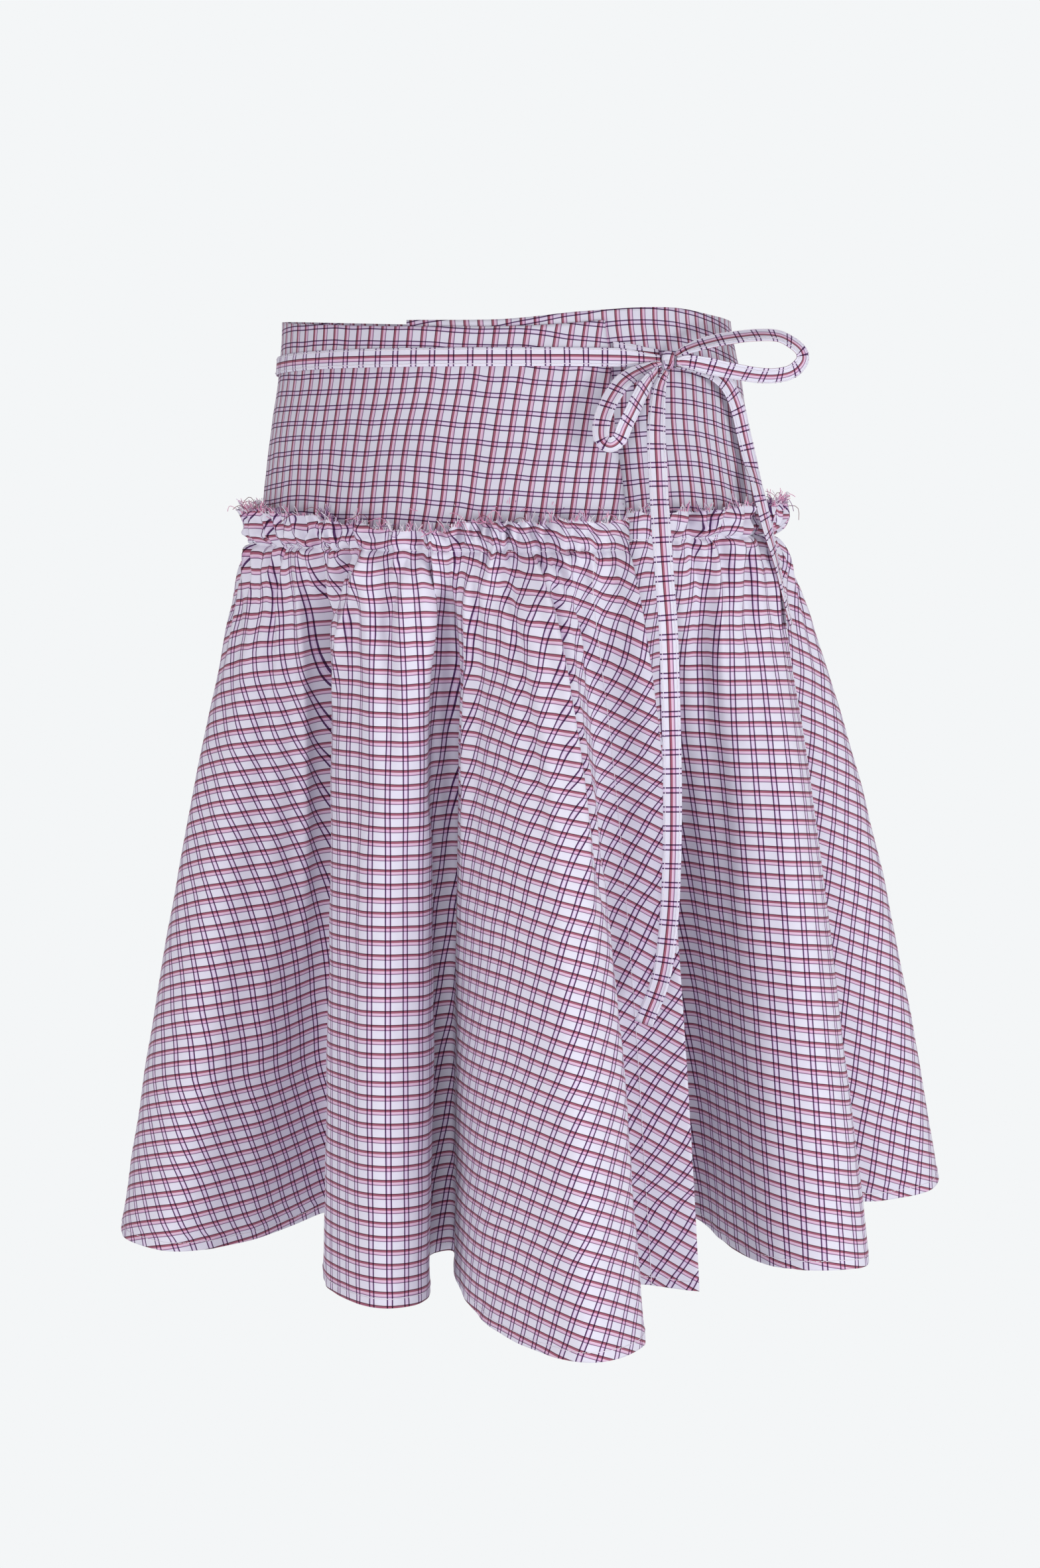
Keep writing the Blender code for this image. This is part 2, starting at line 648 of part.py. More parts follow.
def clear_scene():
    for thing in list(bpy.data.objects):
        bpy.data.objects.remove(thing, do_unlink=True)


clear_scene()
for yoke_name, yoke_start, yoke_end in YOKE_PANELS:
    make_yoke(yoke_name, yoke_start, yoke_end)
for tier_panel in TIER_PANELS:
    make_tier(tier_panel)
lay_tie("tie_waist", TIE_WAIST, 36, waist_layer, 0.0060)
lay_tie("tie_short", TIE_SHORT, 6, lap, 0.0070)
make_knot()
ribbon("bow_loop_right", LOOP_RIGHT, face_of_loop)
ribbon("bow_loop_left", LOOP_LEFT, face_of_loop_backward)
ribbon("tail_front", TAIL_FRONT, face_of_tail)
ribbon("tail_side", TAIL_SIDE, face_of_tail)
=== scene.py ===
"""The looks of a wrap midi skirt in checked cotton: its cloth, gathers, frayed heading, ties and bow."""

import functools
import math
from collections import namedtuple

import bmesh
import bpy
import numpy as np
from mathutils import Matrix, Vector


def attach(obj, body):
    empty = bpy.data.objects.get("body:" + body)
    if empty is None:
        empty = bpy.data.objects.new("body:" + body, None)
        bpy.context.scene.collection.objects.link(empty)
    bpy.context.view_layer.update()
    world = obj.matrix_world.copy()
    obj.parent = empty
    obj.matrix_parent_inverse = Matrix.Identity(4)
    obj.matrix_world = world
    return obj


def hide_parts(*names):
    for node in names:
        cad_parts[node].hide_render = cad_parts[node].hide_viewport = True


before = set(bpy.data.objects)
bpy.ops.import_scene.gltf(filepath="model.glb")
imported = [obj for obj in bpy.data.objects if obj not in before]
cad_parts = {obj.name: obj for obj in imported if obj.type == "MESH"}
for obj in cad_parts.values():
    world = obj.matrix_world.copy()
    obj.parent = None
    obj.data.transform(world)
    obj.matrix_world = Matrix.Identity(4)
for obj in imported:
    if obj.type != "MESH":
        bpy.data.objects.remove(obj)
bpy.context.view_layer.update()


def table_of(kind, *values):
    """The rows of a table, all of one kind."""
    return tuple(kind(*row) for row in values)


def placed(name, data):
    """A new object in the scene."""
    item = bpy.data.objects.new(name, data)
    bpy.context.scene.collection.objects.link(item)
    return item


# Studio. The skirt hangs as worn, with no one in it, in front of a plain pale ground that throws no shadow.
# Wide soft lights stand at both sides and in front, so the folds are bright and their troughs in shade.
CAMERA_PLACE = (0.0067, -1.9, -0.05)
CAMERA_PITCH = math.radians(7.58)
CAMERA_LENS_MM = 66.4
SENSOR_MM = 36.0
GROUND_COLOUR = (0.904, 0.921, 0.931, 1.0)
ROOM_COLOUR = (0.96, 0.86, 0.92, 1.0)
ROOM_STRENGTH = 0.44
FLOOR_COLOUR = (0.70, 0.71, 0.73, 1.0)
FLOOR_Z = -1.15
FLOOR_REACH = 12.0
SKIRT_MIDDLE = (0.0, 0.0, -0.30)

camera_data = bpy.data.cameras.new("camera")
camera_data.lens = CAMERA_LENS_MM
camera_data.sensor_fit = "VERTICAL"
camera_data.sensor_height = SENSOR_MM
camera = placed("camera", camera_data)
camera.location = CAMERA_PLACE
camera.rotation_euler = (math.pi / 2.0 - CAMERA_PITCH, 0.0, 0.0)
bpy.context.scene.camera = camera
bpy.context.scene.view_settings.view_transform = "Standard"


def soft_light(name, place, width, height, watts, colour):
    """A wide soft light that looks from its place to the middle of the skirt."""
    data = bpy.data.lights.new(name, "AREA")
    data.shape = "RECTANGLE"
    data.size = width
    data.size_y = height
    data.energy = watts
    data.color = colour
    light = placed(name, data)
    light.location = place
    light.rotation_euler = (Vector(SKIRT_MIDDLE) - Vector(place)).to_track_quat("-Z", "Y").to_euler()


soft_light("key_light", (2.15, -1.60, -0.36), 1.0, 0.6, 27.5, (1.0, 0.985, 0.985))
soft_light("fill_light", (-1.80, -2.00, -0.80), 1.2, 0.4, 17.5, (1.0, 0.965, 0.95))
soft_light("front_light", (-0.15, -2.60, -0.10), 0.9, 0.9, 15.0, (1.0, 0.97, 0.99))
soft_light("back_light", (0.0, 2.4, 0.9), 1.8, 1.8, 26.0, (1.0, 1.0, 1.0))


def show_to_camera(tree, seen, lighting, out):
    """Shows one shader to the camera, and another one to everything that it lights."""
    ray = tree.nodes.new("ShaderNodeLightPath")
    mix = tree.nodes.new("ShaderNodeMixShader")
    tree.links.new(ray.outputs["Is Camera Ray"], mix.inputs["Fac"])
    tree.links.new(lighting, mix.inputs[1])
    tree.links.new(seen, mix.inputs[2])
    tree.links.new(mix.outputs["Shader"], out)


floor_material = bpy.data.materials.new("pale_floor")
floor_material.use_nodes = True
floor_tree = floor_material.node_tree
floor_tree.nodes.clear()
even = floor_tree.nodes.new("ShaderNodeEmission")
even.inputs["Color"].default_value = GROUND_COLOUR
dimmer = floor_tree.nodes.new("ShaderNodeBsdfDiffuse")
dimmer.inputs["Color"].default_value = FLOOR_COLOUR
floor_out = floor_tree.nodes.new("ShaderNodeOutputMaterial")
show_to_camera(floor_tree, even.outputs["Emission"], dimmer.outputs["BSDF"], floor_out.inputs["Surface"])

floor_shape = bmesh.new()
bmesh.ops.create_grid(floor_shape, x_segments=1, y_segments=1, size=FLOOR_REACH)
bmesh.ops.translate(floor_shape, vec=(0.0, 0.0, FLOOR_Z), verts=floor_shape.verts)
floor_mesh = bpy.data.meshes.new("floor")
floor_shape.to_mesh(floor_mesh)
floor_shape.free()
floor_mesh.materials.append(floor_material)
placed("floor", floor_mesh)

world = bpy.data.worlds.new("studio")
world.use_nodes = True
bpy.context.scene.world = world
world_nodes = world.node_tree.nodes
room = world_nodes["Background"]
room.inputs["Color"].default_value = ROOM_COLOUR
room.inputs["Strength"].default_value = ROOM_STRENGTH
ground = world_nodes.new("ShaderNodeBackground")
ground.inputs["Color"].default_value = GROUND_COLOUR
world_out = world_nodes["World Output"].inputs["Surface"]
show_to_camera(world.node_tree, ground.outputs["Background"], room.outputs["Background"], world_out)

# Checked cotton. A plain weave of fine yarns, pale lilac-white, with a bold brown and pink stripe one way
# and a pair of thin purple lines the other way. The yarns mix where the stripes cross.
BOLD_REPEAT = 0.00885
PAIR_REPEAT = 0.0119
PALE_COTTON = (0.752, 0.765, 0.870, 1.0)

Band = namedtuple("Band", "start colour")
BOLD_BANDS = table_of(
    Band,
    (0.0, (1.0, 1.0, 1.0, 1.0)),
    (0.0023, (0.14, 0.04, 0.06, 1.0)),
    (0.00285, (0.48, 0.15, 0.2, 1.0)),
    (0.004, (1.0, 0.74, 0.82, 1.0)),
    (0.00485, (0.92, 0.62, 0.76, 1.0)),
    (0.0056, (0.25, 0.12, 0.23, 1.0)),
    (0.0061, (1.0, 1.0, 1.0, 1.0)),
)
PAIR_BANDS = table_of(
    Band,
    (0.0, (1.0, 1.0, 1.0, 1.0)),
    (0.00364, (0.11, 0.04, 0.14, 1.0)),
    (0.0045, (0.92, 0.78, 0.91, 1.0)),
    (0.0052, (1.0, 0.92, 0.98, 1.0)),
    (0.0061, (0.93, 0.78, 0.9, 1.0)),
    (0.00682, (0.11, 0.04, 0.14, 1.0)),
    (0.00768, (1.0, 1.0, 1.0, 1.0)),
)
YARN_EDGE = 0.00006
YARN_PITCH = 0.00042
YARN_RELIEF = 0.00006
RELIEF_STRENGTH = 0.25
COTTON_LOOK = {"Roughness": 0.82, "Specular IOR Level": 0.25, "Sheen Weight": 0.12, "Sheen Roughness": 0.45}


class Weave:
    """Short calls for the nodes of one material."""

    def __init__(self, name):
        self.material = bpy.data.materials.new(name)
        self.material.use_nodes = True
        self.nodes = self.material.node_tree.nodes
        self.links = self.material.node_tree.links
        self.shader = self.nodes["Principled BSDF"]

    def put(self, socket, value):
        """Links an output to a socket, or sets a plain value on it."""
        if isinstance(value, bpy.types.NodeSocket):
            self.links.new(value, socket)
        else:
            socket.default_value = value

    def sum(self, operation, *values):
        """A Math node."""
        node = self.nodes.new("ShaderNodeMath")
        node.operation = operation
        for socket, value in zip(node.inputs, values):
            self.put(socket, value)
        return node.outputs["Value"]

    def times(self, left, right):
        """Two colours multiplied."""
        node = self.nodes.new("ShaderNodeMix")
        node.data_type = "RGBA"
        node.blend_type = "MULTIPLY"
        node.inputs["Factor"].default_value = 1.0
        self.put(node.inputs["A"], left)
        self.put(node.inputs["B"], right)
        return node.outputs["Result"]

    def stripes(self, place, repeat, bands):
        """Colour bands across one direction of the cloth, with edges one yarn soft."""
        phase = self.sum("FRACT", self.sum("DIVIDE", place, repeat))
        node = self.nodes.new("ShaderNodeValToRGB")
        self.put(node.inputs["Fac"], phase)
        ramp = node.color_ramp
        ramp.interpolation = "LINEAR"
        ramp.elements[0].position = 0.0
        ramp.elements[0].color = bands[0].colour
        ramp.elements[1].position = 1.0
        ramp.elements[1].color = bands[-1].colour
        for before, band in zip(bands, bands[1:]):
            ramp.elements.new((band.start - YARN_EDGE) / repeat).color = before.colour
            ramp.elements.new((band.start + YARN_EDGE) / repeat).color = band.colour
        return node.outputs["Color"]


def checked_cotton(name, tint=PALE_COTTON, pairs_closer=1.0):
    """The cloth's material. Its UV map is in metres of cut cloth: x across the pairs, y across the bold."""
    weave = Weave(name)
    cut = weave.nodes.new("ShaderNodeUVMap")
    cut.uv_map = "cut_cloth"
    apart = weave.nodes.new("ShaderNodeSeparateXYZ")
    weave.put(apart.inputs["Vector"], cut.outputs["UV"])
    across = apart.outputs["X"]
    down = apart.outputs["Y"]
    bold = weave.stripes(down, BOLD_REPEAT, BOLD_BANDS)
    pairs = weave.stripes(weave.sum("MULTIPLY", across, pairs_closer), PAIR_REPEAT, PAIR_BANDS)
    weave.put(weave.shader.inputs["Base Color"], weave.times(tint, weave.times(bold, pairs)))
    for quality, value in COTTON_LOOK.items():
        weave.shader.inputs[quality].default_value = value
    turns = 2.0 * math.pi / YARN_PITCH
    weft = weave.sum("SINE", weave.sum("MULTIPLY", down, turns))
    warp = weave.sum("SINE", weave.sum("MULTIPLY", across, turns))
    bump = weave.nodes.new("ShaderNodeBump")
    bump.inputs["Strength"].default_value = RELIEF_STRENGTH
    bump.inputs["Distance"].default_value = YARN_RELIEF
    weave.put(bump.inputs["Height"], weave.sum("MULTIPLY", weft, warp))
    weave.put(weave.shader.inputs["Normal"], bump.outputs["Normal"])
    return weave.material


# Yoke. Three flat-cut panels of cotton go round the hips from the waist edge to the gather seam, their bold
# stripes upright. They follow one spiral round the body, so the over front lies on the under front.
SHEET_THICKNESS = 0.00035
WALL = 0.0012
SEAM_GAP = 0.0003
UNDER_EDGE = -25.3
RIGHT_SEAM = 100.0
LEFT_SEAM = 260.0
WRAP_EDGE = 384.8
OVER_STANDS_OUT = (312.0, 334.0)
UNDER_COMES_BACK = (28.0, 48.0)
UNDER_IS_FREE = (28.5, 34.5)
SEAM_DROPS = (75.0, 105.0)
OVER_SEAM_Z = -0.1425
UNDER_SEAM_Z = -0.1360
TOP_LAP = 0.0010
LOW_LAP = 0.0031
LAP_GROWS_FROM = -0.070
LAP_GROWN_AT = -0.102
LATTICE = 64

Ring = namedtuple("Ring", "z centre_x half_width half_front half_back")
YOKE_RINGS = table_of(
    Ring,
    (0.012, -0.0024, 0.1446, 0.099, 0.099),
    (0, -0.002, 0.145, 0.1, 0.1),
    (-0.037, 0.0002, 0.15, 0.1055, 0.1065),
    (-0.066, 0.0002, 0.1545, 0.1095, 0.1125),
    (-0.092, 0.0012, 0.1592, 0.1135, 0.118),
    (-0.117, 0.0027, 0.1634, 0.1175, 0.1225),
    (-0.155, 0.0032, 0.1665, 0.1205, 0.126),
)
Height = namedtuple("Height", "spiral z")
WAIST_EDGE = table_of(
    Height,
    (-25.3, -0.0015),
    (0, -0.001),
    (20, 0.004),
    (46, 0.0068),
    (66, 0.0022),
    (88, -0.0005),
    (100, 0),
    (180, 0),
    (260, 0),
    (300, -0.003),
    (340, -0.0055),
    (370, -0.0045),
    (384.8, -0.0015),
)


def ease(value):
    """0 below 0, 1 above 1, and smooth between."""
    value = np.clip(value, 0.0, 1.0)
    return value * value * (3.0 - 2.0 * value)


def grown(value, span):
    """0 before a span of values, 1 after it, and smooth between."""
    return ease((value - span[0]) / (span[1] - span[0]))


@functools.cache
def smooth_curve(table, key, column):
    """The knots, values and slopes of a smooth curve through one column of a table."""
    rows = sorted(table, key=lambda row: getattr(row, key))
    knots = np.array([getattr(row, key) for row in rows])
    values = np.array([getattr(row, column) for row in rows])
    gaps = np.diff(knots)
    rises = np.diff(values) / gaps
    inner = (rises[:-1] * gaps[1:] + rises[1:] * gaps[:-1]) / (gaps[:-1] + gaps[1:])
    return knots, values, np.concatenate((rises[:1], inner, rises[-1:]))


def table_value(table, key, at, column):
    """A column of a table where its key column has these values, read smoothly between and past the rows."""
    knots, values, slopes = smooth_curve(table, key, column)
    at = np.asarray(at, float)
    span = np.clip(np.searchsorted(knots, at, side="right") - 1, 0, len(knots) - 2)
    gap = knots[span + 1] - knots[span]
    t = (at - knots[span]) / gap
    between = (
        values[span] * (2.0 * t**3 - 3.0 * t**2 + 1.0)
        + slopes[span] * gap * (t**3 - 2.0 * t**2 + t)
        + values[span + 1] * (3.0 * t**2 - 2.0 * t**3)
        + slopes[span + 1] * gap * (t**3 - t**2)
    )
    before = values[0] + slopes[0] * (at - knots[0])
    after = values[-1] + slopes[-1] * (at - knots[-1])
    return np.where(at <= knots[0], before, np.where(at >= knots[-1], after, between))


def unit(vectors):
    """Vectors made one long."""
    return vectors / np.maximum(np.linalg.norm(vectors, axis=-1, keepdims=True), 1e-12)


def ring_point(spiral, z, out):
    """Points on the ring round the hips at a height, moved straight out by a distance."""
    spiral, z, out = np.broadcast_arrays(spiral, z, out)
    turn = np.radians(spiral)
    sizes = [table_value(YOKE_RINGS, "z", z, column) for column in Ring._fields[1:]]
    centre_x, half_width, half_front, half_back = sizes
    half_depth = np.where(np.cos(turn) > 0.0, half_front, half_back)
    level = np.zeros_like(turn)
    outward = unit(np.stack((np.sin(turn) / half_width, -np.cos(turn) / half_depth, level), axis=-1))
    on_ring = np.stack((centre_x + half_width * np.sin(turn), -half_depth * np.cos(turn), z), axis=-1)
    return on_ring + outward * out[..., None]


def lap(spiral, z):
    """How far a layer stands out of the ring where the fronts overlap, with the under front inside it."""
    distance = TOP_LAP + (LOW_LAP - TOP_LAP) * ease((LAP_GROWS_FROM - z) / (LAP_GROWS_FROM - LAP_GROWN_AT))
    return distance * (grown(spiral, OVER_STANDS_OUT) - 1.0 + grown(spiral, UNDER_COMES_BACK))


def seam_z(spiral):
    """The height of the gather seam, a little higher on the under front."""
    return UNDER_SEAM_Z + (OVER_SEAM_Z - UNDER_SEAM_Z) * grown(spiral, SEAM_DROPS)


def soft_noise(seed, across, down):
    """Smooth noise from -1 to 1, one bump to a unit of each direction, on a lattice that repeats."""
    lattice = np.random.default_rng(seed).uniform(-1.0, 1.0, (LATTICE, LATTICE))
    across, down = np.broadcast_arrays(across, down)
    left = np.floor(across).astype(int)
    above = np.floor(down).astype(int)
    share = ease(across - left)
    share_down = ease(down - above)

    def level(row):
        """The noise on one row of the lattice."""
        from_left = lattice[left % LATTICE, row % LATTICE] * (1.0 - share)
        return from_left + lattice[(left + 1) % LATTICE, row % LATTICE] * share

    return level(above) * (1.0 - share_down) + level(above + 1) * share_down


Unevenness = namedtuple("Unevenness", "height seed_step across down")


def uneven(kind, seed, along, down):
    """Soft unevenness of one kind, as high as it says, with bumps of its lengths."""
    return kind.height * soft_noise(seed + kind.seed_step, along / kind.across, down / kind.down)


def outward_normals(points):
    """The outward normal at each point of a sheet whose rows run down and columns to the right."""
    to_right = np.gradient(points, axis=0)
    downward = np.gradient(points, axis=1)
    return unit(np.cross(downward, to_right))


def lengths_along(points, axis):
    """The length of cloth from the start of each row or column to each point."""
    steps = np.linalg.norm(np.diff(points, axis=axis), axis=-1)
    start = np.zeros_like(np.take(steps, [0], axis=axis))
    return np.cumsum(np.concatenate((start, steps), axis=axis), axis=axis)


def cloth_piece(name, points, cut, material, node):
    """One piece of cloth: a flat grid, its rows from the low edge up, moved to its points and made thick."""
    columns, rows = points.shape[:2]
    in_order = points[:, ::-1].swapaxes(0, 1).astype(np.float32)
    cut_in_order = cut[:, ::-1].swapaxes(0, 1).reshape(-1, 2).astype(np.float32)
    shape = bmesh.new()
    bmesh.ops.create_grid(shape, x_segments=columns - 1, y_segments=rows - 1, size=0.5)
    mesh = bpy.data.meshes.new(name)
    shape.to_mesh(mesh)
    shape.free()
    mesh.vertices.foreach_set("co", in_order.ravel())
    corner = np.empty(len(mesh.loops), int)
    mesh.loops.foreach_get("vertex_index", corner)
    mesh.uv_layers.new(name="cut_cloth").data.foreach_set("uv", cut_in_order[corner].ravel())
    mesh.shade_smooth()
    mesh.materials.append(material)
    piece = placed(name, mesh)
    thickness = piece.modifiers.new("thickness", "SOLIDIFY")
    thickness.thickness = SHEET_THICKNESS
    thickness.offset = 0.0
    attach(piece, "root")
    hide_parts(node)
    return piece


# The yoke is the tier's pale cotton, its tint made about an eighth darker all over. That darkening is painted
# shade, for the dimmer light at the waist, not a different cloth.
YOKE_SHADED_TINT = (0.660, 0.675, 0.768, 1.0)
YOKE_PAIRS_CLOSER = 1.21
yoke_cotton = checked_cotton("yoke_cotton", YOKE_SHADED_TINT, YOKE_PAIRS_CLOSER)
YOKE_CUT_RADIUS = 0.84
YokePanel = namedtuple("YokePanel", "name start end slant_from slant_to columns seed")
YOKE_PANELS = (
    YokePanel("yoke_under_front", UNDER_EDGE, RIGHT_SEAM, -0.10, -0.04, 130, 11),
    YokePanel("yoke_back", RIGHT_SEAM, LEFT_SEAM, 0.0, 0.0, 150, 12),
    YokePanel("yoke_over_front", LEFT_SEAM, WRAP_EDGE, -0.05, -0.11, 130, 13),
)
YOKE_ROWS = 60
YOKE_SOFT = Unevenness(0.00035, 0, 0.035, 0.05)
YOKE_SEAM_PUCKERS = Unevenness(0.00030, 20, 0.009, 0.06)
YOKE_FINE = Unevenness(0.00020, 40, 0.02, 0.012)
PAIRS_DRIFT = Unevenness(0.0016, 60, 0.045, 0.050)
PAIRS_WAVER = Unevenness(0.0006, 80, 0.014, 0.030)
BOLD_DRIFT = Unevenness(0.0010, 70, 0.040, 0.035)
HIP_RADIUS = 0.12
YOKE_HALF_GAP = math.degrees(SEAM_GAP / 2.0 / HIP_RADIUS)


def yoke_sheet(panel):
    """The points of a yoke panel and their places on its cut cloth."""
    spiral = np.linspace(panel.start + YOKE_HALF_GAP, panel.end - YOKE_HALF_GAP, panel.columns + 1)[:, None]
    share = np.linspace(0.0, 1.0, YOKE_ROWS + 1)[None, :]
    top = table_value(WAIST_EDGE, "spiral", spiral, "z")
    z = top + (seam_z(spiral) - top) * share
    points = ring_point(spiral, z, lap(spiral, z))
    along = lengths_along(points, 0)
    down = lengths_along(points, 1)
    pucker = uneven(YOKE_SOFT, panel.seed, along, down)
    pucker = pucker + uneven(YOKE_SEAM_PUCKERS, panel.seed, along, down) * ease((share - 0.55) / 0.4)
    pucker = pucker + uneven(YOKE_FINE, panel.seed, along, down)
    points = points + outward_normals(points) * pucker[..., None]
    turn = (along / along[-1:] - 0.5) * along[-1:, :1] / YOKE_CUT_RADIUS
    radius = YOKE_CUT_RADIUS + down
    height = down[:, -1:] - down
    slant = panel.slant_from + (panel.slant_to - panel.slant_from) * along / along[-1:]
    across_bold = radius * np.sin(turn) + slant * height
    across_bold = across_bold + uneven(BOLD_DRIFT, panel.seed, along, down)
    across_pairs = radius * np.cos(turn) + uneven(PAIRS_DRIFT, panel.seed, along, down)
    across_pairs = across_pairs + uneven(PAIRS_WAVER, panel.seed, along, down)
    return points, np.stack((across_pairs, across_bold), axis=-1)


for panel in YOKE_PANELS:
    points, cut = yoke_sheet(panel)
    yoke = cloth_piece(panel.name + "_cloth", points, cut, yoke_cotton, panel.name)

# Tier. Each panel is a sector of a ring of cotton, its stripes level, gathered onto the yoke with a topstitch
# that leaves its frayed raw edge standing as a heading. Below the seam it falls in a few deep soft folds.
TIER_LENGTH = 0.473
PLACE_STEP = 0.0005
MOST_WAVE = 0.0095
HIDDEN_WAVE = 0.0020
OPENING_EASE = 0.06
TIER_TRIM = 0.0002
TROUGH_SHARE = 0.40
PITCH_CHANGE = 0.0060
PITCH_CHANGES = 5.0

Fold = namedtuple("Fold", "spiral hem_x hem_y opens longer", defaults=(0.0,))
FOLDS = table_of(
    Fold,
    (-25.3, -0.035, 0, 0.8),
    (-12, 0, -0.032, 0.8),
    (2, 0.036, -0.07, 0.8),
    (14, 0.072, -0.045, 0.8),
    (27, 0.1, -0.004, 0.8),
    (37, 0.1255, 0, 0.8),
    (46, 0.149, -0.047, 0.7),
    (56, 0.176, -0.085, 0.65),
    (65, 0.212, -0.093, 0.65, 0.003),
    (71, 0.233, -0.072, 0.65, 0.007),
    (75, 0.235, -0.028, 0.7, 0.004),
    (80, 0.226, 0.042, 0.78),
    (85, 0.262, 0.057, 0.64, 0.006),
    (91, 0.298, 0.08, 0.56, 0.011),
    (95, 0.303, 0.104, 0.52, 0.011),
    (100, 0.283, 0.132, 0.6, 0.008),
    (108, 0.225, 0.12, 0.9, 0.004),
    (116, 0.192, 0.112, 0.9),
    (126, 0.186, 0.185, 0.6),
    (134, 0.15, 0.222, 0.5),
    (142, 0.108, 0.2, 0.6),
    (150, 0.088, 0.125, 0.9),
    (160, 0.068, 0.215, 0.55),
    (170, 0.03, 0.25, 0.45, 0.01),
    (180, -0.008, 0.222, 0.55),
    (188, -0.024, 0.135, 0.9),
    (198, -0.046, 0.208, 0.6),
    (208, -0.085, 0.236, 0.5),
    (217, -0.12, 0.2, 0.6),
    (224, -0.13, 0.118, 0.9),
    (234, -0.165, 0.172, 0.65),
    (241, -0.2, 0.16, 0.7),
    (248, -0.205, 0.105, 0.85),
    (254, -0.212, 0.072, 0.9),
    (260, -0.243, 0.056, 0.72),
    (272, -0.2635, 0.002, 0.67),
    (280, -0.253, -0.036, 0.67, -0.002),
    (288, -0.226, -0.057, 0.66, -0.005),
    (300, -0.1775, -0.029, 0.85, -0.006),
    (312, -0.12, 0.028, 0.9),
    (321, -0.117, -0.1, 0.8),
    (331, -0.08, -0.15, 0.6),
    (340.5, -0.052, -0.128, 0.45),
    (344.5, -0.05, -0.046, 0.8),
    (346.5, -0.04, -0.042, 0.8),
    (350, -0.0345, -0.092, 0.6),
    (355, -0.006, -0.17, 0.45, 0.01),
    (359.5, 0.05, -0.222, 0.32, 0.021),
    (364, 0.079, -0.195, 0.3, 0.019),
    (373, 0.072, -0.106, 0.45),
    (384.8, 0.122, -0.108, 0.42, 0.003),
)
Gather = namedtuple("Gather", "cloth height closed lean inward")
GATHERS = table_of(
    Gather,
    (-0.024, 0.54, 0, 0.0032, 0),
    (-0.012, 0.46, 0, 0.0014, 0),
    (0, 0.2, 0, 0, 0),
    (0.012, 0.4, 0, 0, 0.2),
    (0.03, 0.44, 0.05, 0, 0.35),
    (0.065, 0.36, 0.4, 0, 0.4),
    (0.13, 0.26, 0.85, 0, 0.45),
    (0.23, 0.12, 1, 0, 0.5),
    (0.35, 0.05, 1, 0, 0.5),
    (TIER_LENGTH, 0, 1, 0, 0.5),
)
PlacedFold = namedtuple("PlacedFold", ("place",) + Fold._fields)


def placed_folds():
    """The folds with their places from 0 to 1, counted half by angle and half by length of hem."""
    spirals, hem_x, hem_y = np.array([fold[:3] for fold in FOLDS]).T
    lengths = lengths_along(np.stack((hem_x, hem_y), axis=-1), 0)
    places = 0.5 * (spirals - spirals[0]) / np.ptp(spirals) + 0.5 * lengths / lengths[-1]
    return tuple(PlacedFold(float(place), *fold) for place, fold in zip(places, FOLDS))


PLACED_FOLDS = placed_folds()


def fold_value(place, column):
    """A column of the fold table, read smoothly at places along the tier."""
    return table_value(PLACED_FOLDS, "place", place, column)


def place_at(spiral):
    """The place along the tier of the fold row with this spiral angle."""
    return next(fold.place for fold in PLACED_FOLDS if fold.spiral == spiral)


def opened(share, opens):
    """How far a fold has opened at a share of the tier's length."""
    low = OPENING_EASE**opens
    return ((share + OPENING_EASE) ** opens - low) / ((1.0 + OPENING_EASE) ** opens - low)


def under_cover(spiral):
    """1 where the under front lies flat beneath the over front, 0 where it is free."""
    return 1.0 - grown(spiral, UNDER_IS_FREE)


def tier_base(place, cloth):
    """The tier's cloth without its gathers, at lengths of cloth below the gather seam."""
    place, cloth = np.broadcast_arrays(place, cloth)
    spiral = fold_value(place, "spiral")
    z = seam_z(spiral)
    seam = ring_point(spiral, z, lap(spiral, z) + WALL + SEAM_GAP)
    head_z = z - cloth
    lean = table_value(GATHERS, "cloth", cloth, "lean") * (1.0 - under_cover(spiral))
    heading = ring_point(spiral, head_z, lap(spiral, head_z) + WALL + SEAM_GAP + lean)
    spread_x = fold_value(place, "hem_x") - seam[..., 0]
    spread_y = fold_value(place, "hem_y") - seam[..., 1]
    length = TIER_LENGTH + fold_value(place, "longer")
    drop = np.sqrt(length**2 - spread_x**2 - spread_y**2)
    share = np.maximum(cloth, 0.0) / TIER_LENGTH
    open_share = opened(share, fold_value(place, "opens"))
    below = seam + np.stack((spread_x * open_share, spread_y * open_share, -drop * share), axis=-1)
    return np.where((cloth < 0.0)[..., None], heading, below)


def tier_frame(place, cloth):
    """Points of the tier's cloth without its gathers, and the level way that it faces there."""
    along = tier_base(place + PLACE_STEP, cloth) - tier_base(place - PLACE_STEP, cloth)
    facing = np.stack((along[..., 1], -along[..., 0], np.zeros(along.shape[:-1])), axis=-1)
    return tier_base(place, cloth), unit(facing)


def gather_height(before, place, after, cloth):
    """The height of the gathers, from their pitch, and less in a trough, where its sides lean together."""
    seam_pitch = np.linalg.norm(tier_base(after, 0.0) - tier_base(before, 0.0), axis=-1)
    point_before, facing_before = tier_frame(before, cloth)
    point_after, facing_after = tier_frame(after, cloth)
    step = point_after - point_before
    step_length = np.linalg.norm(step, axis=-1)
    height = np.minimum(seam_pitch, step_length) * table_value(GATHERS, "cloth", cloth, "height")
    height = np.minimum(height, MOST_WAVE)
    leaning = -np.sum((facing_after - facing_before) * step, axis=-1) / step_length**2
    height = np.where(leaning > 0.0, np.minimum(height, TROUGH_SHARE / np.maximum(leaning, 1e-9)), height)
    hidden = under_cover(fold_value(place, "spiral"))
    return height * (1.0 - hidden) + np.minimum(height, HIDDEN_WAVE) * hidden


